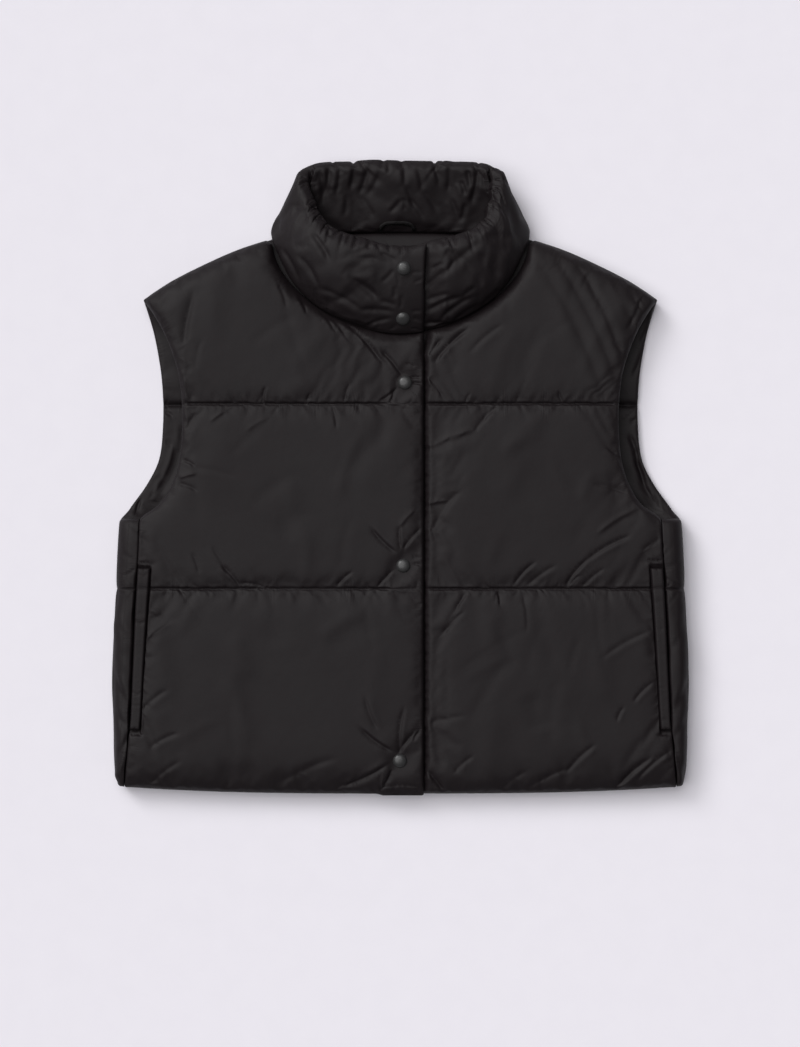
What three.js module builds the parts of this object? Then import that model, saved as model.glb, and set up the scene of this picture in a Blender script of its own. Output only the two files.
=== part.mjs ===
// A cropped puffer vest laid flat on its back with the front up. Millimetres, +X to the viewer's right,
// +Y towards the collar, +Z up from the surface that it lies on. The origin is on that surface, below the
// middle of the vest. Each piece of padded cloth is a thick wall: a grid of outer points over inner ones.

import * as THREE from 'three';

// Driving dimensions
const HEM_Y = -293;
const HEM_RISE = 6.9;            // how much higher the hem is at its corners than at the middle
const LOW_SEAM_Y = -102.8;       // the two quilt seams that cross front and back
const HIGH_SEAM_Y = 68.4;
const UNDERARM_Y = -37.5;
const NECK_POINT = { x: 119.4, y: 222.8 };
const BACK_NECK_Y = 228.3;
const NECK_DROP = 94;            // from the back neck seam to the lowest point of the front neckline
const NECK_SQUARENESS = 1.88;    // exponent of the neckline's curve, where 2 is an ellipse
const PLACKET_X = 21.9;          // edge of the wearer's right front, which laps over
const UNDERLAP_X = 18;           // how far the wearer's left front reaches past the centre below it
const PLACKET_DROP = 1.5;        // the placket ends this much below the hem
const GAP = 0.3;                 // between pieces that touch
const LAYER = 16.3;              // height where the front lies on the back, away from the edges
const LAYER_EDGE = 6;            // the same height at the armholes, the shoulders and the back neck
const LAYER_HEM = 11;            // and at the hem, which is thicker
const HEM_SHARE = 0.4;           // share of the padding that goes on to the hem
const SEAM_LOFT = 5;             // thickness of a front at a seam or an edge
const FULL_LOFT = 18;            // and in the middle of a baffle
const SEAM_REACH = 11;           // how fast the padding swells away from a seam
const EDGE_REACH = 12;
const LAP_LIFT = 5.4;            // the placket lies this much higher, on the underlap
const SIDE_WRAP = 14;            // width of the rounded side fold
const FOLD_WALL = 9;             // thickness of the padded cloth round that fold
const POCKET = { top: -82.8, bottom: -235.3, topWidth: 13, bottomWidth: 10.5, thick: 4 };
const SNAP = { radius: 6.5, height: 3.4, rim: 0.9 };
const COLLAR = { wall: 16, seamWall: 6, lapWall: 6.6, bow: 8, lean: 3 };

const NYLON = { color: 0x2a292b, roughness: 0.62, metalness: 0 };
const TAPE = { color: 0x232224, roughness: 0.7, metalness: 0 };
const PAINTED_METAL = { color: 0x38383a, roughness: 0.45, metalness: 0.6 };

// Half widths of the outline, and of the side seam on the front, at a few heights
const SIDE = [
  { y: -293.0, outline: 263.0, seam: 256.6 },
  { y: -274.1, outline: 266.0, seam: 254.8 },
  { y: -226.0, outline: 267.0, seam: 250.5 },
  { y: -188.0, outline: 268.3, seam: 248.9 },
  { y: -127.0, outline: 265.8, seam: 246.2 },
  { y: -66.4, outline: 263.2, seam: 242.9 },
  { y: UNDERARM_Y, outline: 261.5, seam: 241.7 },
];
const ARMHOLE = [
  { y: UNDERARM_Y, back: 261.5, front: 241.7 },
  { y: -33.0, back: 257.6, front: 235.9 },
  { y: -23.9, back: 250.0, front: 222.6 },
  { y: -4.6, back: 236.3, front: 211.2 },
  { y: 18.0, back: 225.6, front: 204.6 },
  { y: 50.2, back: 222.1, front: 202.2 },
  { y: 78.6, back: 222.3, front: 203.3 },
  { y: 103.2, back: 224.6, front: 207.5 },
  { y: 133.9, back: 230.3, front: 218.9 },
  { y: 154.6, back: 236.3, front: 231.2 },
  { y: 165.0, back: 239.8, front: 239.3 },
];
const SHOULDER = [
  { y: 165.0, back: 239.8 },
  { y: 174.5, back: 226.4 },
  { y: 185.1, back: 209.3 },
  { y: 202.0, back: 175.2 },
  { y: 213.3, back: 148.6 },
  { y: NECK_POINT.y, back: NECK_POINT.x },
];

// Collar sections from the centre front round one side to the centre back: the middle of the wall
// at the neck seam, and the top of the rolled rim
const COLLAR_SECTIONS = [
  { baseX: 0, baseY: 136.4, baseZ: 23.2, rimX: 0, rimY: 212.5, rimZ: 47 },
  { baseX: 42, baseY: 143.2, baseZ: 22.5, rimX: 40, rimY: 221, rimZ: 46.5 },
  { baseX: 75, baseY: 159.5, baseZ: 21.5, rimX: 63.5, rimY: 229, rimZ: 45 },
  { baseX: 97, baseY: 180, baseZ: 20.6, rimX: 74.5, rimY: 239, rimZ: 42 },
  { baseX: 109.5, baseY: 202, baseZ: 19, rimX: 80, rimY: 253, rimZ: 38 },
  { baseX: 115.5, baseY: 224.5, baseZ: 11, rimX: 85, rimY: 273, rimZ: 33 },
  { baseX: 95, baseY: 226.9, baseZ: 6.5, rimX: 80.5, rimY: 290, rimZ: 28 },
  { baseX: 50, baseY: 229, baseZ: 5.5, rimX: 45, rimY: 293.2, rimZ: 26 },
  { baseX: 0, baseY: 229.9, baseZ: 5.5, rimX: 0, rimY: 293.8, rimZ: 26 },
];

// The largest folds of the fronts: soft troughs from one point to another
const FOLDS = [
  { fromX: -84, fromY: 150, toX: -26, toY: 106, deep: 1.8, wide: 9 },
  { fromX: 34, fromY: 104, toX: 74, toY: 134, deep: 1.6, wide: 9 },
  { fromX: -6, fromY: -260, toX: -54, toY: -284, deep: 2.2, wide: 8 },
  { fromX: -8, fromY: -252, toX: -36, toY: -230, deep: 1.6, wide: 7 },
  { fromX: 84, fromY: -96, toX: 174, toY: -40, deep: 1.6, wide: 8 },
  { fromX: 135, fromY: -92, toX: 198, toY: -58, deep: 1.5, wide: 7 },
  { fromX: 150, fromY: 196, toX: 204, toY: 74, deep: 1.6, wide: 9 },
  { fromX: -201, fromY: 174, toX: -205, toY: 76, deep: 1.6, wide: 9 },
  { fromX: -205, fromY: 20, toX: -186, toY: 4, deep: 1.5, wide: 6 },
  { fromX: 157, fromY: -284, toX: 240, toY: -238, deep: 1.6, wide: 8 },
];

// Heights down the centre front of the snaps
const SNAPS = [
  { name: 'snap_1', x: 3.1, y: 191.5 },
  { name: 'snap_2', x: 2.4, y: 146.4 },
  { name: 'snap_3', x: 4.2, y: 88.0 },
  { name: 'snap_4', x: 2.6, y: -81.2 },
  { name: 'snap_5', x: -0.5, y: -261.8 },
];

// Rows of the fronts and the back, closer together at the seams
const BODY_ROWS = [
  HEM_Y, -289, -281, -266, POCKET.bottom - 4, POCKET.bottom, -195, -155, -125, -112, -106,
  LOW_SEAM_Y, -99.5, -93, POCKET.top, -62, -46, UNDERARM_Y,
];
const ARM_ROWS = [-35, -31, -24, -12, 8, 36, 54, 64, HIGH_SEAM_Y];
const BACK_TOP_ROWS = [72.5, 82, 104, 132, 154, 165, 176, 188, 202, 213, 219.5, NECK_POINT.y];
const FRONT_FAN = [0.03, 0.1, 0.25, 0.32, 0.4, 0.49, 0.58, 0.67, 0.76, 0.85, 0.94, 1];
const FAN_CORNER = 0.25;         // share of the top baffle's rows that end on the placket edge

const group = new THREE.Group();

function smooth(from, to, value) {
  return THREE.MathUtils.smoothstep(value, from, to);
}

// One column of a table, read at a height between its rows along a smooth curve
function reading(table, column, y) {
  const last = table.length - 1;
  let i = table.findIndex((row, k) => k === last - 1 || y < table[k + 1].y);
  i = Math.max(0, i);
  const slope = (k) => {
    const before = table[Math.max(0, k - 1)];
    const after = table[Math.min(last, k + 1)];
    return (after[column] - before[column]) / (after.y - before.y);
  };
  const span = table[i + 1].y - table[i].y;
  const t = THREE.MathUtils.clamp((y - table[i].y) / span, 0, 1);
  const rise = table[i + 1][column] - table[i][column];
  const start = slope(i) * span - rise;
  const end = rise - slope(i + 1) * span;
  return table[i][column] + rise * t + t * (1 - t) * (start * (1 - t) + end * t);
}

function outlineAt(y) {
  if (y > ARMHOLE.at(-1).y) return reading(SHOULDER, 'back', y);
  if (y > UNDERARM_Y) return reading(ARMHOLE, 'back', y);
  return reading(SIDE, 'outline', y) - 1.2 * Math.exp(-Math.abs(y - LOW_SEAM_Y) / 5);
}

function frontEdgeAt(y) {
  return y > UNDERARM_Y ? reading(ARMHOLE, 'front', y) : reading(SIDE, 'seam', y);
}

function hemRise(x, y) {
  return HEM_RISE * Math.abs(x / 264) ** 3 * (1 - smooth(HEM_Y, HEM_Y + 90, y));
}

function backNeckRise(x, y) {
  const share = 1 - (x / NECK_POINT.x) ** 2;
  return (BACK_NECK_Y - NECK_POINT.y) * Math.max(0, share) * smooth(190, NECK_POINT.y, y);
}

function necklineY(x) {
  const across = Math.min(1, Math.abs(x) / NECK_POINT.x);
  const down = (1 - across ** NECK_SQUARENESS) ** (1 / NECK_SQUARENESS);
  return BACK_NECK_Y - 5.5 * across ** 6 - NECK_DROP * down;
}

// Lines that the heights are measured from, as points on the side where x is positive
function line(from, to, count, point) {
  return Array.from({ length: count + 1 }, (_, k) => point(from + ((to - from) * k) / count));
}
const hemLine = line(0, 264, 12, (x) => new THREE.Vector2(x, HEM_Y + hemRise(x, HEM_Y)));
const freeEdge = [
  ...line(UNDERARM_Y, NECK_POINT.y, 30, (y) => new THREE.Vector2(outlineAt(y), y)),
  ...line(NECK_POINT.x - 10, 0, 6, (x) => new THREE.Vector2(x, NECK_POINT.y + backNeckRise(x, 223))),
];
const frontSide = line(HEM_Y, 165, 60, (y) => new THREE.Vector2(frontEdgeAt(y), y));
const shoulderLine = line(165, NECK_POINT.y, 12, (y) => new THREE.Vector2(outlineAt(y), y));
const neckline = line(-60, NECK_POINT.x, 40, (x) => new THREE.Vector2(x, necklineY(x)));

function distance(points, x, y) {
  let nearest = Infinity;
  for (let k = 0; k + 1 < points.length; k += 1) {
    const along = points[k + 1].clone().sub(points[k]);
    const t = ((x - points[k].x) * along.x + (y - points[k].y) * along.y) / along.lengthSq();
    const foot = points[k].clone().addScaledVector(along, THREE.MathUtils.clamp(t, 0, 1));
    nearest = Math.min(nearest, Math.hypot(x - foot.x, y - foot.y));
  }
  return nearest;
}

function swell(far, reach) {
  return 1 - Math.exp(-far / reach);
}

function hemShare(far) {
  return HEM_SHARE + (1 - HEM_SHARE) * swell(far, SEAM_REACH);
}

// Height of the surface between the front and the back
function layerAt(x, y) {
  const edge = (LAYER - LAYER_EDGE) * (1 - swell(distance(freeEdge, Math.abs(x), y), EDGE_REACH));
  const hem = (LAYER - LAYER_HEM) * (1 - swell(distance(hemLine, Math.abs(x), y), EDGE_REACH));
  return LAYER - edge - hem;
}

// How near the layers are to the middle of their rise from a free edge, where they lie looser
function slack(x, y) {
  const risen = swell(distance(freeEdge, Math.abs(x), y), EDGE_REACH);
  return 4 * risen * (1 - risen);
}

// Height of the back's inside, which is quilted like its outside where the armholes show it
function backInsideAt(x, y) {
  const layer = layerAt(x, y) - 1.2 * slack(x, y);
  const near = Math.min(Math.abs(y - HIGH_SEAM_Y), Math.abs(y - LOW_SEAM_Y));
  return layer - GAP / 2 - 0.3 * layer * Math.exp(-near / 7);
}

function foldDepth(x, y) {
  return FOLDS.reduce((depth, fold) => {
    const points = [new THREE.Vector2(fold.fromX, fold.fromY), new THREE.Vector2(fold.toX, fold.toY)];
    return depth + fold.deep * Math.exp(-((distance(points, x, y) / fold.wide) ** 2));
  }, 0);
}

// The front's inside and its quilted outside. Side is -1 for the wearer's right front, which laps over.
function frontInsideAt(side, x, y) {
  const lapEnd = -UNDERLAP_X - 2 - 24 * smooth(95, 126, y);
  const lap = side < 0 ? LAP_LIFT * smooth(lapEnd - 22, lapEnd, x) : 0;
  return layerAt(x, y) + GAP / 2 + lap;
}

function frontOutsideAt(side, x, y) {
  const out = side * x;
  const near = [
    Math.abs(y - HIGH_SEAM_Y), Math.abs(y - LOW_SEAM_Y), distance(freeEdge, Math.abs(x), y),
    distance(frontSide, out, y), distance(neckline, out, y),
  ];
  const placket = PLACKET_X + 18 * smooth(95, 128, y);
  const padded = side < 0 ? smooth(14, 52, -x) : smooth(placket, placket + 34, x);
  const hem = hemShare(distance(hemLine, Math.abs(x), y));
  const full = near.reduce((share, far) => share * swell(far, SEAM_REACH), padded * hem);
  const loft = SEAM_LOFT + (FULL_LOFT - SEAM_LOFT) * full;
  return frontInsideAt(side, x, y) + loft - foldDepth(x, y) * Math.min(1, full * 1.4);
}

// A closed wall over a grid of outer and inner points. Cells that keep() leaves out are open.
function wall(name, outer, inner, finish, keep = () => true) {
  const rows = outer.length;
  const columns = outer[0].length;
  const positions = [...outer.flat(), ...inner.flat()].flatMap((point) => point.toArray());
  const place = (i, j, layer) => layer * rows * columns + i * columns + j;
  const faces = [];
  const quad = (a, b, c, d) => faces.push(a, b, c, a, c, d);
  const kept = (i, j) => i >= 0 && j >= 0 && i < rows - 1 && j < columns - 1 && keep(i, j);
  const rim = (i, j, k, l) => quad(place(i, j, 1), place(k, l, 1), place(k, l, 0), place(i, j, 0));
  for (let i = 0; i < rows - 1; i += 1) {
    for (let j = 0; j < columns - 1; j += 1) {
      if (!kept(i, j)) continue;
      quad(place(i, j, 0), place(i, j + 1, 0), place(i + 1, j + 1, 0), place(i + 1, j, 0));
      quad(place(i, j, 1), place(i + 1, j, 1), place(i + 1, j + 1, 1), place(i, j + 1, 1));
      if (!kept(i - 1, j)) rim(i, j, i, j + 1);
      if (!kept(i + 1, j)) rim(i + 1, j + 1, i + 1, j);
      if (!kept(i, j - 1)) rim(i + 1, j, i, j);
      if (!kept(i, j + 1)) rim(i, j + 1, i + 1, j + 1);
    }
  }
  const geometry = new THREE.BufferGeometry();
  geometry.setAttribute('position', new THREE.Float32BufferAttribute(positions, 3));
  geometry.setIndex(faces);
  if (signedVolume(geometry) < 0) {
    for (let k = 0; k < faces.length; k += 3) [faces[k], faces[k + 1]] = [faces[k + 1], faces[k]];
    geometry.setIndex(faces);
  }
  return addPiece(name, geometry.toNonIndexed(), finish);
}

function signedVolume(geometry) {
  const { position } = geometry.attributes;
  const at = (k) => new THREE.Vector3().fromBufferAttribute(position, geometry.index.getX(k));
  let volume = 0;
  for (let k = 0; k < geometry.index.count; k += 3) volume += at(k).dot(at(k + 1).cross(at(k + 2)));
  return volume;
}

function addPiece(name, geometry, finish) {
  const mesh = new THREE.Mesh(geometry, new THREE.MeshStandardMaterial(finish));
  mesh.name = name;
  group.add(mesh);
  return mesh;
}

// The back, from one side seam round the side fold, across below and round to the other side seam
const FLAT_SHARES = [0, 0.17, 0.34, 0.5, 0.64, 0.76, 0.86, 0.94];
const FOLD_ANGLES = [-90, -60, -30, 0, 35, 65, 90];
const FREE_SHARES = [0.955, 0.972, 0.987, 1];

function backSection(y) {
  const edge = outlineAt(y);
  const strip = edge - frontEdgeAt(Math.min(y, UNDERARM_Y));
  const round = Math.min(SIDE_WRAP, strip * 0.7);
  const foldWall = Math.min(FOLD_WALL, strip * 0.6);
  const ends = [Math.abs(y - LOW_SEAM_Y), Math.max(1, UNDERARM_Y - y)];
  const full = ends.reduce((share, far) => share * swell(far, SEAM_REACH), hemShare(y - HEM_Y));
  const placed = (x) => y + hemRise(x, y) + backNeckRise(x, y);
  const layer = layerAt(edge - round, placed(edge - round));
  const below = layer - GAP / 2 - 1.2 * slack(edge - round, placed(edge - round));
  const top = layer + SEAM_LOFT + 1.5 + 9.5 * full;
  const free = smooth(UNDERARM_Y, UNDERARM_Y + 14, y);
  const outer = [];
  const inner = [];
  const put = (x, low, high, insideX = x) => {
    outer.push(new THREE.Vector3(x, placed(x), low));
    inner.push(new THREE.Vector3(insideX, placed(insideX), high));
  };
  const lift = (x) => 2.5 * Math.exp(-distance(freeEdge, x, placed(x)) / 4);
  const reach = THREE.MathUtils.lerp(edge - round, edge * FREE_SHARES[0], free);
  FLAT_SHARES.forEach((share) => {
    const x = reach * share;
    put(x, lift(x), backInsideAt(x, placed(x)));
  });
  FOLD_ANGLES.forEach((angle, k) => {
    const turn = THREE.MathUtils.degToRad(angle);
    const x = edge - round + round * Math.cos(turn);
    const low = (top / 2) * (1 + Math.sin(turn)) + (angle < 0 ? lift(x) * 0.6 : 0);
    const inside = Math.min(x, edge - foldWall + 1 - Math.abs(angle) / 60);
    const high = angle > 0 ? layer + 1.05 : below + (angle === 0 ? 0.5 : 0);
    if (k > 3) return put(x, low, high, inside);
    const freeX = edge * FREE_SHARES[k];
    const freeHigh = backInsideAt(freeX, placed(freeX)) - (k === 3 ? 0.8 : 0);
    return put(
      THREE.MathUtils.lerp(x, freeX, free), THREE.MathUtils.lerp(low, lift(freeX), free),
      THREE.MathUtils.lerp(high, freeHigh, free), THREE.MathUtils.lerp(inside, freeX, free),
    );
  });
  const seam = edge - strip;
  const turnEnd = edge - round;
  put((turnEnd + seam) / 2, top - 1.2, layer + 1.1);
  put(seam, layer + SEAM_LOFT, layer + GAP);
  return { outer, inner };
}

function mirrored(half) {
  const other = half.slice(1).reverse().map((point) => new THREE.Vector3(-point.x, point.y, point.z));
  return [...other, ...half];
}

function backPanel() {
  const rows = [...BODY_ROWS, ...ARM_ROWS, ...BACK_TOP_ROWS].map(backSection);
  const outer = rows.map((row) => mirrored(row.outer));
  const inner = rows.map((row) => mirrored(row.inner));
  const strips = FOLD_ANGLES.length - 4 + 2;
  const columns = outer[0].length;
  const onStrip = (j) => j < strips || j >= columns - 1 - strips;
  const above = BODY_ROWS.length - 1;
  return wall('back_panel', outer, inner, NYLON, (i, j) => i < above || !onStrip(j));
}

// A front, from the placket edge or the underlap out to the side seam and the armhole
const NEAR_CENTRE = { right: [0, 5, 13, 25, 41, 52, 64], left: [0, 20, 34, 40.2, 46, 54, 66] };
const MIDDLE_SHARES = [0.18, 0.36, 0.54, 0.7, 0.85];
const WELT_SHARES = [1, 0.66, 0.33, 0];

function frontRows(side) {
  const inside = side < 0 ? -PLACKET_X : -UNDERLAP_X;
  const rows = [...BODY_ROWS, ...ARM_ROWS].map((y) => {
    return { inX: inside, inY: y, outX: frontEdgeAt(y) - GAP, outY: y, bow: 0 };
  });
  const armTop = ARMHOLE.at(-1).y;
  const neck = line(inside, NECK_POINT.x, 60, (x) => new THREE.Vector2(x, necklineY(x)));
  const neckCurve = new THREE.SplineCurve(neck);
  FRONT_FAN.forEach((share) => {
    const outY = THREE.MathUtils.lerp(HIGH_SEAM_Y, armTop, share);
    const row = { outX: reading(ARMHOLE, 'front', outY) - GAP, outY, bow: 6 * share ** 3 };
    if (share <= FAN_CORNER) {
      row.inX = inside;
      row.inY = THREE.MathUtils.lerp(HIGH_SEAM_Y, necklineY(inside), share / FAN_CORNER);
    } else {
      const point = neckCurve.getPointAt((share - FAN_CORNER) / (1 - FAN_CORNER));
      row.inX = point.x;
      row.inY = point.y - GAP;
    }
    rows.push(row);
  });
  return rows;
}

function frontGrid(side) {
  const near = side < 0 ? NEAR_CENTRE.right : NEAR_CENTRE.left;
  const drop = side < 0 ? PLACKET_DROP : 0;
  const outer = [];
  const inner = [];
  frontRows(side).forEach((row) => {
    const width = row.outX - row.inX;
    const welt = weltWidth(row.outY);
    const middle = MIDDLE_SHARES.map((share) => near.at(-1) + share * (width - welt - near.at(-1)));
    const along = [...near, ...middle, ...WELT_SHARES.map((share) => width - welt * share)];
    const points = along.map((far) => {
      const t = far / width;
      const x = side * (row.inX + (row.outX - row.inX) * t);
      const y = row.inY + (row.outY - row.inY) * t + row.bow * Math.sin(Math.PI * t);
      const tab = drop * (1 - smooth(38, 44, far)) * (1 - smooth(HEM_Y, HEM_Y + 20, y));
      return new THREE.Vector2(x, y + hemRise(x, y) - tab);
    });
    outer.push(points.map((at) => new THREE.Vector3(at.x, at.y, frontOutsideAt(side, at.x, at.y))));
    inner.push(points.map((at) => new THREE.Vector3(at.x, at.y, frontInsideAt(side, at.x, at.y))));
  });
  return { outer, inner };
}

// The welt narrows towards the bottom of the pocket
function weltWidth(y) {
  return THREE.MathUtils.mapLinear(y, POCKET.top, POCKET.bottom, POCKET.topWidth, POCKET.bottomWidth);
}

// The welt lies on the front, so it is made from the front's own points, moved out
function pocketWelt(name, grid) {
  const top = BODY_ROWS.indexOf(POCKET.top);
  const bottom = BODY_ROWS.indexOf(POCKET.bottom);
  const columns = WELT_SHARES.length;
  const moved = (thick) => grid.outer.slice(bottom, top + 1).map((row) => {
    return row.slice(-columns).map((point, j) => {
      const edge = j === 0 || j === columns - 1;
      return point.clone().setZ(point.z + GAP + thick * (edge ? 0.45 : 1));
    });
  });
  return wall(name, moved(POCKET.thick), moved(0), NYLON);
}

// The collar, a padded wall between the neck seam and the rolled rim, with lapped ends
const COLLAR_SHARES = [0, 0.06, 0.16, 0.32, 0.5, 0.68, 0.82, 0.92, 0.98, 1];
const COLLAR_COLUMNS = 46;
const LAP_TURN = { over: 1 + 0.0325, under: -0.0268 };

// The front of the rim leans a little to one side
function collarCurve(place) {
  const half = COLLAR_SECTIONS.map((row) => {
    return new THREE.Vector3(row[`${place}X`], row[`${place}Y`], row[`${place}Z`]);
  });
  const other = half.slice(1, -1).reverse().map((point) => new THREE.Vector3(-point.x, point.y, point.z));
  const ring = [...half, ...other];
  if (place === 'rim') ring.forEach((point) => { point.x += COLLAR.lean * (1 - smooth(240, 275, point.y)); });
  return new THREE.CatmullRomCurve3(ring, true, 'catmullrom', 0.5);
}
const collarBase = collarCurve('base');
const collarRim = collarCurve('rim');

// Middle of the collar's wall. The turn is 0 at the centre front, on the end that lies below, and 1 on
// the end that laps over it.
function collarMiddle(turn, share) {
  const around = turn - Math.floor(turn);
  const base = collarBase.getPoint(around);
  const rim = collarRim.getPoint(around);
  return base.lerp(rim, share);
}

function collarNormal(turn, share) {
  const step = 0.004;
  const along = collarMiddle(turn + step, share).sub(collarMiddle(turn - step, share));
  const up = collarMiddle(turn, 1).sub(collarMiddle(turn, 0));
  return along.cross(up).normalize();
}

function lapShare(turn) {
  return Math.max(1 - smooth(0.02, 0.075, turn), smooth(0.925, 0.98, turn));
}

function collarPoint(turn, share, face) {
  const lap = lapShare(turn);
  const full = THREE.MathUtils.lerp(COLLAR.wall, COLLAR.lapWall, lap);
  const low = Math.min(COLLAR.seamWall, full);
  const swollen = low + (full - low) * swell(share * 70, SEAM_REACH);
  const roll = Math.sqrt(Math.max(0, 1 - Math.max(0, (share - 0.88) / 0.125) ** 2));
  const side = turn > 0.5 ? 1 : -1;
  const lift = lap * side * (COLLAR.lapWall / 2 + 0.25);
  const aside = smooth(0.17, 0.3, Math.min(turn, 1 - turn));
  const bow = COLLAR.bow * Math.sin(Math.PI * share) * (1 - 0.4 * lap - 0.9 * aside) + lift;
  const point = collarMiddle(turn, share);
  point.addScaledVector(collarNormal(turn, share), bow + (face * swollen * roll) / 2);
  return point;
}

function collar() {
  const { over, under } = LAP_TURN;
  const turns = line(under, over, COLLAR_COLUMNS, (turn) => turn);
  const face = (side) => COLLAR_SHARES.map((share) => turns.map((turn) => collarPoint(turn, share, side)));
  return wall('collar', face(1), face(-1), NYLON);
}

// The turn and the share of the collar's wall whose face lies at a place seen from above
function collarPlace(x, y, face, start, turnPerStep) {
  let turn = start;
  let share = 0.5;
  for (let k = 0; k < 30; k += 1) {
    const at = collarPoint(turn, share, face);
    turn += (x - at.x) * turnPerStep;
    share += (y - at.y) * 0.012;
  }
  return { turn, share };
}

// The hanger loop: a narrow tape from the back neck seam that arches up, flat on the collar's inside
const LOOP = { x: -3, span: 35, foot: 231, rise: 8, tape: 3.5, thick: 1, clear: 0.6 };

function hangerLoop() {
  const face = (raise) => [0, 1].map((edge) => line(-1, 1, 10, (s) => {
    const half = LOOP.span / 2 - LOOP.tape * (1 - edge);
    const x = LOOP.x + half * s;
    const y = LOOP.foot + (LOOP.rise - LOOP.tape * (1 - edge)) * Math.sqrt(Math.max(0, 1 - s ** 4));
    const { turn, share } = collarPlace(x, y, -1, 0.5, -0.0012);
    return collarPoint(turn, share, -1).setX(x).setY(y).add(new THREE.Vector3(0, 0, LOOP.clear + raise));
  }));
  return wall('hanger_loop', face(LOOP.thick), face(0), TAPE);
}

// A domed snap cap, turned about its middle, seated on the cloth below it
function snapCap(snap, seat, normal) {
  const { radius, height, rim } = SNAP;
  const profile = [
    new THREE.Vector2(0, 0), new THREE.Vector2(radius - 0.3, 0),
    new THREE.Vector2(radius, 0.4), new THREE.Vector2(radius, rim),
  ];
  for (const angle of [28, 50, 70]) {
    const turn = THREE.MathUtils.degToRad(angle);
    profile.push(new THREE.Vector2(radius * Math.cos(turn), rim + (height - rim) * Math.sin(turn)));
  }
  profile.push(new THREE.Vector2(0, height));
  const mesh = addPiece(snap.name, new THREE.LatheGeometry(profile, 20), PAINTED_METAL);
  mesh.quaternion.setFromUnitVectors(new THREE.Vector3(0, 1, 0), normal);
  mesh.position.copy(seat).addScaledVector(normal, GAP);
}

function frontSeat(snap) {
  const height = (x, y) => frontOutsideAt(-1, x, y);
  const step = 4;
  const fallX = height(snap.x - step, snap.y) - height(snap.x + step, snap.y);
  const fallY = height(snap.x, snap.y - step) - height(snap.x, snap.y + step);
  const seat = new THREE.Vector3(snap.x, snap.y, height(snap.x, snap.y));
  return { seat, normal: new THREE.Vector3(fallX, fallY, 2 * step).normalize() };
}

// The place on the collar's lapped end that is at the snap's own place seen from above
function collarSeat(snap) {
  const { turn, share } = collarPlace(snap.x, snap.y, 1, 1, 0.0014);
  const near = (side, up) => collarPoint(turn + side * 0.006, share + up * 0.03, 1);
  const along = near(1, 0).sub(near(-1, 0));
  const up = near(0, 1).sub(near(0, -1));
  return { seat: collarPoint(turn, share, 1), normal: along.cross(up).normalize() };
}

backPanel();
const rightGrid = frontGrid(-1);
const leftGrid = frontGrid(1);
wall('front_right', rightGrid.outer, rightGrid.inner, NYLON);
wall('front_left', leftGrid.outer, leftGrid.inner, NYLON);
collar();
pocketWelt('pocket_welt_right', rightGrid);
pocketWelt('pocket_welt_left', leftGrid);
hangerLoop();
for (const snap of SNAPS) {
  const { seat, normal } = snap.y > necklineY(snap.x) ? collarSeat(snap) : frontSeat(snap);
  snapCap(snap, seat, normal);
}

export default group;
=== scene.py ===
# A cropped black puffer vest, laid flat on its back on a pale floor and seen from straight above.
# Sizes are in millimetres until a mesh is made, and in metres from there on, as the frame is.

import math

import bmesh
import bpy
import numpy as np
from mathutils import Matrix, Vector, geometry, kdtree


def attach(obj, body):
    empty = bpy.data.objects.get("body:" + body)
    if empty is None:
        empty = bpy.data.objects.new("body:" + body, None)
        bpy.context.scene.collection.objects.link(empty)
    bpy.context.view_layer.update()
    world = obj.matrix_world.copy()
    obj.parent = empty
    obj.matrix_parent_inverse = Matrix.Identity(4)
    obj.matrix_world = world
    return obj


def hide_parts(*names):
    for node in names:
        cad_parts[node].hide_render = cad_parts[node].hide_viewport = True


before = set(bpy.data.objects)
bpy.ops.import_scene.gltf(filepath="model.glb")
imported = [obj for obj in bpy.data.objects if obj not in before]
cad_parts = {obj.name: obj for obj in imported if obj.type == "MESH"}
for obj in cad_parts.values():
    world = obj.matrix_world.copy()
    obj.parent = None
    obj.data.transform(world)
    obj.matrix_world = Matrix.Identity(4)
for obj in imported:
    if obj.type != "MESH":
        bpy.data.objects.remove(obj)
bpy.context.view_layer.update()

MM = 0.001

# The pattern's sizes
HEM_Y = -293.0
HEM_RISE = 6.9              # the hem is this much higher at its corners than at its middle
LOW_SEAM_Y = -102.8
HIGH_SEAM_Y = 68.4
UNDERARM_Y = -37.5
ARM_TOP_Y = 165.0
NECK_X, NECK_Y = 119.4, 222.8
BACK_NECK_Y = 228.3
NECK_DROP = 94.0
NECK_SQUARENESS = 1.88
PLACKET_X = 21.9
UNDERLAP_X = 18.0
PLACKET_DROP = 1.5
GAP = 0.3

# Heights of the padded layers
LAYER, HEM_LAYER, ARM_LAYER = 16.3, 12.0, 10.5
FULL_LOFT = 14.5
ARM_RISE = 7.0              # the fronts' armhole edges stand this much clear of the back
LAP_LIFT = 5.0
SIDE_WRAP, FOLD_WALL = 14.0, 9.0
WELT_SEAT = 9.8             # the padding is this low under a pocket's welt
POCKET = {"top": -82.8, "bottom": -235.3, "top_width": 13.0, "bottom_width": 10.5, "thick": 4.4}
COLLAR = {"wall": 17.0, "seam": 5.0, "lap": 7.0, "bow": 8.0, "lean": 3.0, "over": 1.0325, "under": -0.0268}
COLLAR_ROUND, COLLAR_TALL = 620.0, 76.0

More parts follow.
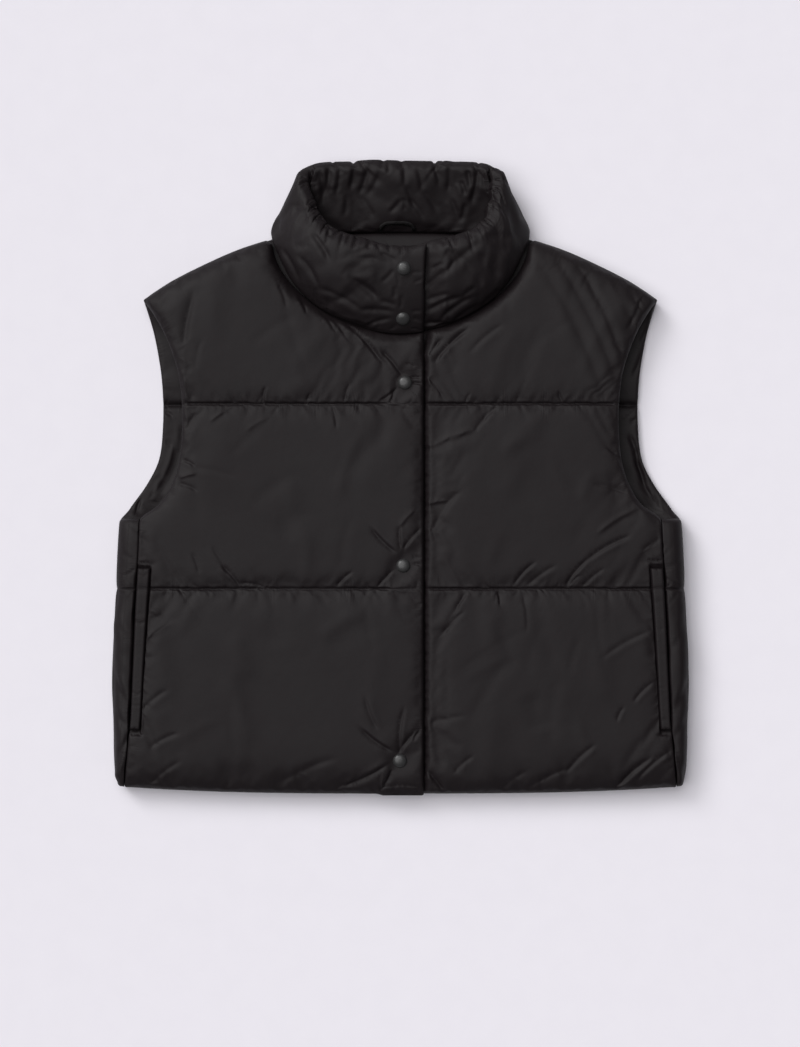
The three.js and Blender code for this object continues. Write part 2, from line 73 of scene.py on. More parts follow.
SIDE = {
    "y": (-293.0, -274.1, -226.0, -188.0, -127.0, -66.4, UNDERARM_Y),
    "outline": (263.0, 266.0, 267.0, 268.3, 265.8, 263.2, 261.5),
    "seam": (256.6, 254.8, 250.5, 248.9, 246.2, 242.9, 241.7),
}
ARMHOLE = {
    "y": (UNDERARM_Y, -33.0, -23.9, -4.6, 18.0, 50.2, 78.6, 103.2, 133.9, 154.6, ARM_TOP_Y),
    "back": (261.5, 257.6, 250.0, 236.3, 225.6, 222.1, 222.3, 224.6, 230.3, 236.3, 239.8),
    "front": (241.7, 235.9, 222.6, 211.2, 204.6, 202.2, 203.3, 207.5, 218.9, 231.2, 239.3),
}
SHOULDER = {
    "y": (ARM_TOP_Y, 174.5, 185.1, 202.0, 213.3, NECK_Y),
    "back": (239.8, 226.4, 209.3, 175.2, 148.6, NECK_X),
}
COLLAR_SECTIONS = {         # from the centre front round to the centre back: neck seam, and rim
    "base": ((0, 136.4, 23.2), (42, 143.2, 22.5), (75, 159.5, 21.5), (97, 180, 20.6), (109.5, 202, 19),
             (115.5, 224.5, 11), (95, 226.9, 6.5), (50, 229, 5.5), (0, 229.9, 5.5)),
    "rim": ((0, 212.5, 47), (40, 221, 46.5), (63.5, 229, 45), (74.5, 239, 42), (80, 253, 38),
            (85, 273, 33), (80.5, 290, 28), (45, 293.2, 26), (0, 293.8, 26)),
}
SNAPS = {"snap_1": (3.1, 191.5), "snap_2": (2.4, 146.4), "snap_3": (4.2, 88.0),
         "snap_4": (2.6, -81.2), "snap_5": (-0.5, -261.8)}
SNAP_RADIUS = 6.5

# Creases as seen from above: from, to, depth and width. A negative depth is a ridge.
RIGHT_CREASES = (
    (-95, 171, -86, 151, 1.1, 1.5), (-74, 154, -60, 135, 1.0, 1.5), (-67, 151, -48, 127, 0.9, 1.6),
    (-54, 146, -17, 107, 1.7, 1.8), (-17, 117, 1, 95, 1.6, 1.7), (-113, 180, -105, 158, 0.6, 1.8),
    (-3, 83, -20, 70, 1.0, 1.4), (-6, 80, -10, 68, 0.9, 1.2), (9, 93, 21, 92, 1.0, 1.1),
    (10, 88, 21, 86, 1.0, 1.1), (6, 106, 13, 102, 0.6, 1.5), (-5, -69, -27, -47, 1.3, 1.8),
    (0, -65, -1, -45, 0.9, 1.4), (3, -65, 20, -46, 1.3, 1.5), (-1, -45, 14, -29, -0.6, 1.8),
    (11, -75, 20, -74, 0.9, 1.0), (12, -80, 20, -81, 0.9, 1.0), (-13, -266, -55, -286, 1.5, 1.9),
    (-8, -253, -37, -232, 1.5, 1.8), (-22, -232, -33, -203, 0.8, 2.0), (-1, -253, 3, -213, 1.1, 1.7),
    (-1, -254, 13, -235, 1.0, 1.5), (12, -243, 20, -231, 0.8, 1.4), (-9, -272, -18, -290, 1.0, 1.5),
    (-111, -282, -60, -259, 0.7, 3.0), (-200, 121, -191, 168, 0.6, 2.6), (-198, 74, -199, 123, -0.6, 2.8),
    (-190, 100, -184, 128, 0.4, 2.4), (-202, 17, -190, 11, 1.0, 1.5), (-204, 0, -189, 4, -0.7, 1.6),
    (-204, -5, -188, -12, 0.9, 1.7), (-199, 10, -152, 1, 0.4, 2.8), (-176, 52, -156, 65, -0.6, 1.8),
    (-142, 44, -124, 55, -0.4, 2.0), (-63, 67, -59, 46, 0.7, 1.5), (-200, 40, -190, 60, 0.5, 2.0),
    (-164, -82, -148, -101, 1.2, 1.6), (-173, -65, -159, -92, 0.5, 2.0), (-192, -70, -186, -88, 0.5, 1.8),
    (-147, -97, -126, -101, 0.8, 1.5), (-59, -100, -45, -87, 1.0, 1.5), (-21, -101, -7, -86, 0.9, 1.3),
    (-127, 69, -125, 84, 0.8, 1.3), (-86, 69, -84, 78, 0.8, 1.2), (-52, 69, -48, 86, 0.7, 1.4),
    (-16.5, -286.5, 19, -286.5, 0.9, 0.8), (-18, -291, -18, -272, 0.9, 0.9),
    (-240, -117, -221, -128, -0.6, 2.2), (-236, -150, -214, -134, -0.5, 2.4),
    (-238, -214, -216, -196, 0.7, 2.2),
    (-230, -248, -206, -236, 0.8, 2.0), (-232, -284, -204, -262, 0.8, 2.2), (-252, -79, -229, -80, 1.3, 1.0),
    (-253, -238, -238, -238, 1.3, 1.0),
)
LEFT_CREASES = (
    (26, 113, 38, 128, 1.2, 1.6), (33, 109, 61, 137, 1.6, 1.8), (65, 117, 93, 141, 0.7, 2.4),
    (153, -99, 172, -76, 1.5, 1.7), (172, -76, 211, -54, 1.3, 1.9), (104, -99, 124, -78, 1.3, 1.6),
    (117, -100, 143, -81, 0.8, 1.9), (157, -99, 165, -90, 0.8, 1.3), (168, -100, 188, -84, 0.8, 1.7),
    (183, -50, 219, -28, -0.9, 2.2), (180, -6, 208, -14, 0.7, 2.0), (192, 27, 206, 15, 0.7, 1.6),
    (147, 199, 206, 71, 0.6, 3.4), (165, 197, 212, 91, 0.7, 2.8), (131, 195, 189, 73, 0.5, 4.0),
    (223, 166, 210, 138, 0.8, 1.8), (27, 28, 69, 45, -0.9, 2.4), (69, 44, 87, 64, 0.9, 1.9),
    (26, -24, 43, -21, -0.8, 1.7), (28, -51, 53, -13, 0.6, 2.4), (38, -146, 58, -124, 0.8, 1.8),
    (51, -124, 60, -107, 0.8, 1.5), (113, -105, 117, -142, 0.4, 1.8), (90, -105, 92, -118, 0.8, 1.2),
    (188, -165, 232, -141, 0.6, 2.2), (216, -206, 233, -189, 1.0, 1.7), (200, -224, 206, -212, 0.8, 1.5),
    (201, -286, 231, -259, 1.3, 2.0), (219, -279, 250, -252, 1.0, 1.9), (154, -272, 179, -247, 1.1, 2.0),
    (123, -284, 155, -269, 0.7, 2.1), (93, -289, 117, -271, 0.6, 2.3), (50, -272, 67, -257, 0.7, 1.9),
    (23, -270, 41, -291, 1.6, 1.9), (25, 94, 40, 74, 0.7, 1.3), (24, -228, 60, -220, 0.5, 2.4),
    (60, 69, 64, 78, 0.7, 1.3), (150, 69, 146, 80, 0.7, 1.3), (227, -77, 252, -79, 1.3, 1.0),
    (238, -238, 253, -238, 1.3, 1.0), (223, -68, 240, -56, 0.6, 1.8),
)
COLLAR_CREASES = (
    (-81, 224, -65, 199, 1.5, 2.6), (-109, 211, -93, 179, 1.1, 2.2), (-93, 203, -75, 175, 1.2, 2.4),
    (-47, 183, -18, 162, 1.9, 3.2), (-18, 162, -4, 158, 1.2, 2.2), (-74, 174, -36, 154, 1.2, 2.4),
    (-36, 154, -6, 153, 1.3, 2.2), (-6, 190, -17, 179, 1.0, 1.8), (-4, 188, -1, 176, 0.8, 1.5),
    (-18, 205, -4, 198, 1.4, 2.2), (-43, 201, -6, 196, 0.9, 2.6), (-30, 141, -9, 147, 1.3, 1.6),
    (0, 214, 1, 203, 1.1, 1.7), (-5, 175, -6, 165, 1.0, 1.7), (1, 167, 0, 156, 1.0, 1.6),
    (-28, 219, -30, 209, 1.2, 1.9), (-20, 219, -20, 210, 0.9, 1.6), (-85, 253, -73, 247, 1.5, 1.7),
    (-79, 238, -65, 237, 1.7, 1.9), (-70, 231, -62, 230, 1.6, 1.7), (-65, 226, -66, 221, 1.2, 1.6),
    (29, 191, 39, 196, 1.1, 1.6), (23, 175, 42, 189, 1.3, 2.6), (42, 189, 74, 215, 1.1, 3.2),
    (24, 163, 46, 168, 1.2, 2.2), (25, 154, 57, 166, 1.8, 2.4), (57, 166, 69, 175, 1.2, 2.2),
    (37, 146, 67, 167, 1.7, 2.2), (49, 144, 78, 161, 1.5, 2.4), (78, 161, 94, 174, 1.2, 2.2),
    (24, 143, 49, 141, 1.1, 1.8), (83, 264, 90, 263, 1.2, 1.6), (84, 262, 83, 246, 1.2, 1.7),
    (49, 199, 43, 188, 0.8, 1.8), (11, 188, 20, 187, 0.8, 1.2), (13, 179, 20, 181, 0.8, 1.2),
    (11, 153, 20, 153, 0.8, 1.2), (12, 147, 20, 144, 0.9, 1.2), (10, 138, 20, 136, 0.8, 1.1),
)
COLLAR_INSIDE_CREASES = (
    (-56, 286, -60, 262, 1.3, 1.9), (-43, 287, -46, 268, 1.2, 2.0), (-30, 286, -38, 263, 1.3, 2.2),
    (-12, 292, -11, 281, 1.2, 1.6), (-18, 284, -30, 262, 1.1, 2.4), (2, 290, 4, 270, 1.2, 2.2),
    (5, 270, 13, 250, 1.0, 2.2), (16, 286, 20, 266, 1.2, 2.2), (20, 266, 34, 248, 0.9, 2.4),
    (31, 289, 36, 271, 1.1, 2.0), (45, 288, 44, 266, 1.2, 2.0), (1, 258, -10, 246, 1.1, 2.0),
    (3, 259, 4, 248, 0.9, 1.6), (8, 258, 22, 240, 1.1, 2.2), (47, 258, 54, 239, 1.2, 2.2),
    (62, 284, 64, 268, 1.9, 2.2), (56, 274, 60, 262, 1.6, 2.0), (71, 284, 66, 255, 2.2, 2.6),
    (60, 254, 56, 238, 1.4, 2.2), (-66, 286, -70, 262, 2.0, 2.4), (-74, 282, -72, 255, 1.8, 2.4),
    (-50, 262, -52, 243, 0.9, 2.2), (-38, 262, -24, 240, 0.8, 2.4),
)
BACK_CREASES = (
    (-200, 50, -209, 22, 3.0, 2.0), (-208, 26, -217, 0, 4.5, 2.2), (-216, 2, -221, -10, 3.4, 1.9),
    (-222, -3, -226, -26, 3.8, 2.2), (-229, -32, -231, -12, 1.6, 1.8), (-246, -34, -243, -20, 1.8, 1.6),
    (-222, 62, -212, 58, 1.2, 1.6), (-219, 34, -213, 30, 0.9, 1.7), (-236, 2, -226, 8, 1.0, 1.6),
    (214, 40, 222, 12, 2.2, 2.4), (220, 16, 228, -10, 3.6, 2.2), (228, -8, 236, -28, 3.0, 2.2),
    (241, -33, 238, -16, 1.6, 1.8), (224, 58, 214, 52, 1.2, 1.6), (226, 28, 216, 22, 1.0, 1.7),
    (-228, 128, -224, 104, 1.0, 2.0), (226, 118, 217, 96, 1.1, 2.0), (231, 140, 224, 128, 0.9, 1.7),
)


def smooth(low, high, value):
    share = np.clip((np.asarray(value, float) - low) / (high - low), 0, 1)
    return share * share * (3 - 2 * share)


def mix(low, high, share):
    return low + (high - low) * share


def reading(table, column, y):
    """One column of a table, read at y along a smooth curve through its rows."""
    at, value = np.array(table["y"], float), np.array(table[column], float)
    count = len(at)
    rows = np.arange(count)
    before, after = np.maximum(rows - 1, 0), np.minimum(rows + 1, count - 1)
    slope = (value[after] - value[before]) / (at[after] - at[before])
    i = np.clip(np.searchsorted(at, y, side="right") - 1, 0, count - 2)
    span, rise = at[i + 1] - at[i], value[i + 1] - value[i]
    t = np.clip((y - at[i]) / span, 0, 1)
    start, end = slope[i] * span - rise, rise - slope[i + 1] * span
    return value[i] + rise * t + t * (1 - t) * (start * (1 - t) + end * t)


def outline_at(y):
    y = np.asarray(y, float)
    side = reading(SIDE, "outline", y) - 1.2 * np.exp(-np.abs(y - LOW_SEAM_Y) / 5)
    arm = reading(ARMHOLE, "back", y)
    return np.where(y > ARM_TOP_Y, reading(SHOULDER, "back", y), np.where(y > UNDERARM_Y, arm, side))


def front_edge_at(y):
    y = np.asarray(y, float)
    return np.where(y > UNDERARM_Y, reading(ARMHOLE, "front", y), reading(SIDE, "seam", y))


def hem_rise(x, y):
    return HEM_RISE * np.abs(x / 264) ** 3 * (1 - smooth(HEM_Y, HEM_Y + 90, y))


def back_neck_rise(x, y):
    share = np.maximum(0, 1 - (x / NECK_X) ** 2)
    return (BACK_NECK_Y - NECK_Y) * share * smooth(190, NECK_Y, y)


def neckline_y(x):
    across = np.minimum(1, np.abs(x) / NECK_X)
    down = (1 - across ** NECK_SQUARENESS) ** (1 / NECK_SQUARENESS)
    return BACK_NECK_Y - 5.5 * across ** 6 - NECK_DROP * down


def path(xs, ys):
    return np.column_stack(np.broadcast_arrays(np.asarray(xs, float), np.asarray(ys, float)))


def evenly(points, step):
    """The same line with its points a step apart."""
    points = np.asarray(points, float)
    along = np.concatenate([[0], np.cumsum(np.linalg.norm(np.diff(points, axis=0), axis=1))])
    count = max(2, int(round(along[-1] / step)) + 1)
    at = np.linspace(0, along[-1], count)
    return np.column_stack([np.interp(at, along, points[:, k]) for k in range(points.shape[1])])


ARM_YS = np.linspace(UNDERARM_Y, NECK_Y, 34)
ARM_LINE = path(outline_at(ARM_YS), ARM_YS)
NECK_XS = np.linspace(NECK_X - 10, 0, 7)
TOP_LINE = path(NECK_XS, NECK_Y + back_neck_rise(NECK_XS, NECK_Y))
ARM_EDGE = (np.vstack([ARM_LINE, TOP_LINE]),)
SIDE_YS = np.linspace(HEM_Y, ARM_TOP_Y, 90)
FRONT_SIDE = (path(front_edge_at(SIDE_YS), SIDE_YS),)
NECKLINE = (path(np.linspace(-60, NECK_X, 44), neckline_y(np.linspace(-60, NECK_X, 44))),)


def nearest(lines, x, y):
    """How far each place is from the nearest of some lines, and how far along that line it is."""
    far, along = np.full(np.shape(x), np.inf), np.zeros(np.shape(x))
    for number, line in enumerate(lines):
        done = 900.0 * number
        for start, end in zip(line[:-1], line[1:]):
            step = end - start
            length = math.hypot(*step)
            if length == 0:
                continue
            t = np.clip(((x - start[0]) * step[0] + (y - start[1]) * step[1]) / length ** 2, 0, 1)
            this = np.hypot(x - start[0] - step[0] * t, y - start[1] - step[1] * t)
            along = np.where(this < far, done + t * length, along)
            far = np.minimum(far, this)
            done += length
    return far, along


def seam_distance(y):
    """How far a height is from the nearer of the two quilting seams."""
    return np.minimum(np.abs(y - HIGH_SEAM_Y), np.abs(y - LOW_SEAM_Y))


def layer_at(x, y):
    """Height of the surface between the back and the fronts."""
    hem = np.exp(-np.abs(y - HEM_Y - hem_rise(x, y)) / 14)
    arm = np.exp(-nearest(ARM_EDGE, np.abs(x), y)[0] / 9)
    return LAYER - (LAYER - HEM_LAYER) * hem - (LAYER - ARM_LAYER) * arm


def pillow(far):
    """The share of its full height that padding has beside a seam: a narrow notch, then nearly flat."""
    notch, lips, sag = 0.17, 0.01, 0.05
    return 1 - notch * np.exp(-(far / 1.1) ** 1.4) - lips * np.exp(-far / 6) - sag * np.exp(-far / 26)


def gathers(lines, x, y, seed, deep, reach, step):
    """Short uneven puckers on both sides of a seam, pulled in by its stitches.

    deep is how far they go in, reach how far from the seam, and step how far one is from the next.
    """
    rng = np.random.default_rng(seed)
    far, along = nearest(lines, x, y)
    length = sum(np.linalg.norm(np.diff(line, axis=0), axis=1).sum() for line in lines)
    depth = np.zeros(np.shape(x))
    place = rng.uniform(0, step)
    while place < length:
        lean, wide = rng.uniform(-0.9, 0.9), rng.uniform(0.9, 2.0)
        this_deep, this_reach = deep * (0.1 + 1.5 * rng.uniform() ** 2), reach * rng.uniform(0.4, 1.7)
        across = (along - place - lean * far) / (wide * (1 + far / 14))
        depth += this_deep * np.exp(-across ** 2 - far / this_reach)
        place += step * rng.uniform(0.3, 1.9)
    return depth


def slack_folds(seed, box, count):
    """Long faint folds scattered over a panel, where the cloth lies loose on its padding."""
    rng = np.random.default_rng(seed)
    rows = []
    for _ in range(count):
        x, y = rng.uniform(box[0], box[2]), rng.uniform(box[1], box[3])
        angle, length = math.radians(rng.uniform(25, 115)), rng.uniform(25, 80)
        wide = rng.uniform(3, 11)
        deep = rng.choice((-1, 1)) * rng.uniform(0.04, 0.085) * wide
        rows.append((x, y, x + length * math.cos(angle), y + length * math.sin(angle), deep, wide))
    return rows


def creases(rows, x, y):
    """Soft troughs with a low ridge beside them, deepest near their middle."""
    depth = np.zeros(np.shape(x))
    for x0, y0, x1, y1, deep, wide in rows:
        reach = 5 * wide + 0.15 * math.hypot(x1 - x0, y1 - y0)
        near = (x > min(x0, x1) - reach) & (x < max(x0, x1) + reach)
        near &= (y > min(y0, y1) - reach) & (y < max(y0, y1) + reach)
        depth[near] += crease(x0, y0, x1, y1, deep, wide, x[near], y[near])
    return depth


def crease(x0, y0, x1, y1, deep, wide, x, y):
    """One of them, slightly bent and fading at both ends."""
    length = math.hypot(x1 - x0, y1 - y0)
    along = ((x - x0) * (x1 - x0) + (y - y0) * (y1 - y0)) / length ** 2
    bend = 0.04 * length * np.sin(math.pi * np.clip(along, 0, 1))
    side = ((x - x0) * (y1 - y0) - (y - y0) * (x1 - x0)) / length + bend
    fade = smooth(-0.12, 0.2, along) * (1 - smooth(0.75, 1.12, along))
    trough = np.exp(-(side / wide) ** 2) - 0.3 * np.exp(-((side - 2.1 * wide) / (1.3 * wide)) ** 2)
    return deep * fade * trough


def make_mesh(name, points, faces, merge=0.02):
    """A closed mesh object from points in millimetres, with its faces turned out."""
    mesh = bpy.data.meshes.new(name)
    mesh.from_pydata((np.asarray(points) * MM).tolist(), [], [tuple(map(int, face)) for face in faces])
    form = bmesh.new()
    form.from_mesh(mesh)
    if merge:
        bmesh.ops.remove_doubles(form, verts=form.verts, dist=merge * MM)
    loose = [vert for vert in form.verts if not vert.link_faces]
    bmesh.ops.delete(form, geom=loose, context="VERTS")
    bmesh.ops.recalc_face_normals(form, faces=form.faces)
    form.to_mesh(mesh)
    form.free()
    piece = bpy.data.objects.new(name, mesh)
    bpy.context.scene.collection.objects.link(piece)
    mesh.shade_smooth()
    return piece


def inside(outline, x, y):
    """Which places lie inside a closed outline."""
    odd = np.zeros(np.shape(x), bool)
    for (x0, y0), (x1, y1) in zip(outline, np.roll(outline, -1, axis=0)):
        if y0 != y1:
            odd ^= ((y0 > y) != (y1 > y)) & (x < (x1 - x0) * (y - y0) / (y1 - y0) + x0)
    return odd


def spread_out(points, fixed, gap):
    """The points that lie a gap or more from all those before them, with the first ones always kept."""
    taken, kept = {}, []
    for number, (x, y) in enumerate(points):
        i, j = math.floor(x / gap), math.floor(y / gap)
        around = [(a, b) for a in (i - 1, i, i + 1) for b in (j - 1, j, j + 1)]
        close = any(math.hypot(x - u, y - v) < gap for cell in around for u, v in taken.get(cell, ()))
        if number < fixed or not close:
            taken.setdefault((i, j), []).append((x, y))
            kept.append(number)
    return points[kept]


def cut_cloth(outline, lines, step, seed):
    """Flat cloth inside an outline: a triangle mesh, finer along its edge and along some lines."""
    rng = np.random.default_rng(seed)
    closed = (np.vstack([outline, outline[:1]]),)
    turned = np.roll(outline, -1, axis=0) - np.roll(outline, 1, axis=0)
    normal = np.column_stack([-turned[:, 1], turned[:, 0]]) / np.linalg.norm(turned, axis=1)[:, None]
    after = np.roll(outline, -1, axis=0)
    normal *= math.copysign(1, np.sum(outline[:, 0] * after[:, 1] - after[:, 0] * outline[:, 1]))
    layers = [outline]
    insets = (0.35, 0.9, 2.3, 4.6)
    for inset in insets:
        ring = outline + normal * inset
        good = inside(outline, *ring.T) & (nearest(closed, *ring.T)[0] > inset * 0.93)
        layers.append(ring[good])
    for line in lines:
        good = inside(outline, *line.T) & (nearest(closed, *line.T)[0] > insets[-1] + 0.5)
        layers.append(line[good])
    low, high = outline.min(axis=0), outline.max(axis=0)
    rows = np.arange(low[1], high[1], step * 0.866)
    grid = [path(np.arange(low[0], high[0], step) + (k % 2) * step / 2, y) for k, y in enumerate(rows)]
    grid = np.vstack(grid)
    grid += rng.uniform(-0.16, 0.16, grid.shape) * step
    good = inside(outline, *grid.T) & (nearest(closed, *grid.T)[0] > insets[-1] + 0.4 * step)
    if lines:
        good &= nearest(lines, *grid.T)[0] > 0.5 * step
    layers.append(grid[good])
    points = spread_out(np.vstack(layers), len(outline) + len(layers[1]), 0.8)
    count = len(outline)
    edges = [(k, (k + 1) % count) for k in range(count)]
    made = geometry.delaunay_2d_cdt([Vector(point) for point in points], edges, [], 1, 1e-5)
    return np.array([tuple(vert) for vert in made[0]]), made[2]


def padded_panel(name, outline, lines, step, outer_at, inner_at, seed):
    """A stuffed panel: an outer and an inner cloth, cut alike and joined at their edge."""
    top, top_faces = cut_cloth(outline, lines, step, seed)
    low, low_faces = cut_cloth(outline, (), 15.0, seed + 1)
    points = np.vstack([np.column_stack([top, outer_at(*top.T)]), np.column_stack([low, inner_at(*low.T)])])
    faces = [*top_faces, *[tuple(k + len(top) for k in reversed(face)) for face in low_faces]]
    return make_mesh(name, points, faces)


def tree_of(points):
    tree = kdtree.KDTree(len(points))
    for k, point in enumerate(points):
        tree.insert(point, k)
    tree.balance()
    return tree


def edge_round(far, radius):
    """The share of its full height that a rounded edge has at a distance from its end."""
    return np.sqrt(np.maximum(0, 1 - (1 - np.minimum(1, far / radius)) ** 2))


def coords(piece):
    flat = np.empty(len(piece.data.vertices) * 3)
    piece.data.vertices.foreach_get("co", flat)
    return flat.reshape(-1, 3) / MM


def set_coords(piece, points):
    piece.data.vertices.foreach_set("co", (points * MM).ravel())
    piece.data.update()


def normals(piece):
    flat = np.empty(len(piece.data.vertices) * 3, np.float32)
    piece.data.vertex_normals.foreach_get("vector", flat)
    return flat.reshape(-1, 3).astype(float)


def fill_with_air(piece, held, gathered, pressure, frames, cap):
    """Swells a sewn piece with Blender's cloth: seams held, spare cloth where it is gathered."""
    start = coords(piece)
    pinned = piece.vertex_groups.new(name="held")
    pinned.add(np.flatnonzero(held).tolist(), 1.0, "REPLACE")
    spare = piece.vertex_groups.new(name="spare")
    level = np.round(np.clip(gathered, 0, 1) * 10).astype(int)
    for k in range(1, 11):
        spare.add(np.flatnonzero(level == k).tolist(), k / 10, "REPLACE")
    cloth = piece.modifiers.new("cloth", "CLOTH")
    settings = cloth.settings
    settings.vertex_group_mass = "held"
    settings.vertex_group_shrink = "spare"
    settings.shrink_min, settings.shrink_max = -0.012, -0.07
    settings.quality = 5
    settings.use_pressure = True
    settings.uniform_pressure_force = pressure
    settings.tension_stiffness = 25
    settings.compression_stiffness = 25
    settings.shear_stiffness = 10
    settings.bending_stiffness = 0.25
    settings.effector_weights.gravity = 0
    cloth.collision_settings.use_collision = False
    cloth.point_cache.frame_start, cloth.point_cache.frame_end = 1, frames
    scene = bpy.context.scene
    for number in range(1, frames + 1):
        scene.frame_set(number)
    moved = coords(piece.evaluated_get(bpy.context.evaluated_depsgraph_get())) - start
    piece.modifiers.remove(cloth)
    piece.vertex_groups.clear()
    scene.frame_set(1)
    length = np.linalg.norm(moved, axis=1)
    limited = cap * np.tanh(length / cap) / np.maximum(length, 1e-9)
    set_coords(piece, start + moved * limited[:, None])


def mark_seams(piece, far, along):
    """Keeps each point's distance from its seam, and its place along the seam, for the shader's puckers."""
    places = np.column_stack([far, along, np.zeros(len(far))]).astype(np.float32)
    layer = piece.data.attributes.new("stitching", "FLOAT_VECTOR", "POINT")
    layer.data.foreach_set("vector", places.ravel())


def finer(piece):
    """One applied subdivision."""
    bpy.ops.object.select_all(action="DESELECT")
    piece.select_set(True)
    bpy.context.view_layer.objects.active = piece
    divide = piece.modifiers.new("finer", "SUBSURF")
    divide.levels = divide.render_levels = 1
    bpy.ops.object.modifier_apply(modifier=divide.name)
    piece.data.shade_smooth()


# The fronts

def snap_distance(x, y):
    return np.min([np.hypot(x - sx, y - sy) for sx, sy in SNAPS.values()], axis=0)


def front_inside(side, x, y):
    wider = 24 * smooth(95, 126, y)
    lap = LAP_LIFT * smooth(-44 - wider, -22 - wider, x) if side < 0 else 0
    armhole = smooth(UNDERARM_Y - 6, UNDERARM_Y + 14, y) * (1 - smooth(130, 162, y))
    rise = ARM_RISE * armhole * np.exp(-nearest(FRONT_SIDE, side * x, y)[0] / 9)
    return layer_at(x, y) + GAP / 2 + lap + rise


def in_welt(out, y):
    """1 where the welt of the pocket lies on the front, 0 elsewhere, softly at its ends."""
    width = mix(POCKET["top_width"], POCKET["bottom_width"], smooth(POCKET["top"], POCKET["bottom"], y))
    across = front_edge_at(y) - out
    up = smooth(POCKET["bottom"] - 3, POCKET["bottom"] + 2, y)
    down = 1 - smooth(POCKET["top"] - 2, POCKET["top"] + 3, y)
    return up * down * (1 - smooth(width - 0.7, width + 0.6, across))


def front_top(side, x, y):
    """Height of a front's outer cloth: nearly level padding, notched at its seams."""
    out = side * x
    loft = FULL_LOFT
    across = 1 - 0.62 * smooth(-17, -8, x) if side < 0 else 1.0
    for seam_y in (HIGH_SEAM_Y, LOW_SEAM_Y):
        loft = loft * mix(1, pillow(np.abs(y - seam_y)), across)
    loft = loft * (1 - 0.26 * np.exp(-np.abs(y - HEM_Y - hem_rise(x, y)) / 15))
    loft = loft * (1 - 0.30 * np.exp(-nearest(ARM_EDGE, np.abs(x), y)[0] / 8))
    loft = loft * (1 - 0.05 * np.exp(-nearest(FRONT_SIDE, out, y)[0] / 4))
    loft = loft * (1 - 0.45 * np.exp(-nearest(NECKLINE, out, y)[0] / 3.5))
    if side < 0:
        loft = loft * (1 - 0.05 * np.exp(-np.maximum(PLACKET_X - x, 0) / 5))
        loft = loft * (1 - 0.14 * np.exp(-(snap_distance(x, y) / 9) ** 2))
    else:
        edge = PLACKET_X + GAP + 4 * smooth(112, 130, y)
        loft = mix(4.0, loft, edge_round(np.maximum(x - edge, 0), 4.5))
    return layer_at(x, y) + GAP / 2 + mix(loft, WELT_SEAT, in_welt(out, y))


def by_side_seam(side, x, y):
    """1 along the side seam, falling to 0 away from it."""
    below_arm = 1 - smooth(UNDERARM_Y - 8, UNDERARM_Y + 4, y)
    return np.exp(-(nearest(FRONT_SIDE, side * x, y)[0] / 4) ** 2) * below_arm


def edge_radius(side, x, y):
    """A front's edges are rounded off, tighter along the side seam and the placket."""
    placket = np.exp(-((PLACKET_X - x) / 4) ** 2) if side < 0 else 0
    return 3.8 - 3.1 * by_side_seam(side, x, y) - 1.4 * placket


def front_outline(side):
    """The front's cut, in the direction from the centre out to the side seam, as it lies."""
    inner = -PLACKET_X if side < 0 else -UNDERLAP_X
    drop = PLACKET_DROP if side < 0 else 0
    hem_x = np.linspace(inner, 256.5, 120)
    hem_y = HEM_Y - 0.3 + hem_rise(hem_x, HEM_Y) - drop * (1 - smooth(PLACKET_X - 4, PLACKET_X - 1, hem_x))
    side_y = np.linspace(hem_y[-1], ARM_TOP_Y, 160)
    top_y = np.linspace(ARM_TOP_Y, NECK_Y - 0.4, 60)
    neck_x = np.linspace(NECK_X - 0.2, inner, 90)
    centre = path(inner, [neckline_y(np.array(inner)) + 0.3, hem_y[0]])
    parts = [path(hem_x, hem_y), path(front_edge_at(side_y), side_y),
             path(outline_at(top_y), top_y), path(neck_x, neckline_y(neck_x) + 0.3), centre]
    return np.vstack([evenly(part, 3.0)[:-1] for part in parts])


def fine_lines(side, rows):
    """Lines of closely set points along the seams and the creases, for their narrow folds."""
    inner = -PLACKET_X if side < 0 else -UNDERLAP_X
    lines = []
    for y in (HIGH_SEAM_Y, LOW_SEAM_Y):
        for off in (0, 0.9, -0.9, 2.2, -2.2, 4.3, -4.3, 7.2, -7.2):
            step = 2.1 if abs(off) < 5 else 3.2
            lines.append(evenly(path([inner, float(front_edge_at(y))], y + off), step) * (side, 1))
    ys = np.linspace(POCKET["bottom"], POCKET["top"], 60)
    welt_edge = front_edge_at(ys) - mix(POCKET["bottom_width"], POCKET["top_width"], np.linspace(0, 1, 60))
    lines.extend(evenly(path(welt_edge - off, ys), 2.4) * (side, 1) for off in (-0.7, 0.3, 1.3, 2.8))
    for x0, y0, x1, y1, _, wide in rows:
        length = math.hypot(x1 - x0, y1 - y0)
        normal = np.array([y1 - y0, x0 - x1]) / length
        middle = evenly([(x0, y0), (x1, y1)], 2.2)
        lines.extend(middle + normal * off * wide for off in (0, 0.75, -0.75, 1.7))
    return lines


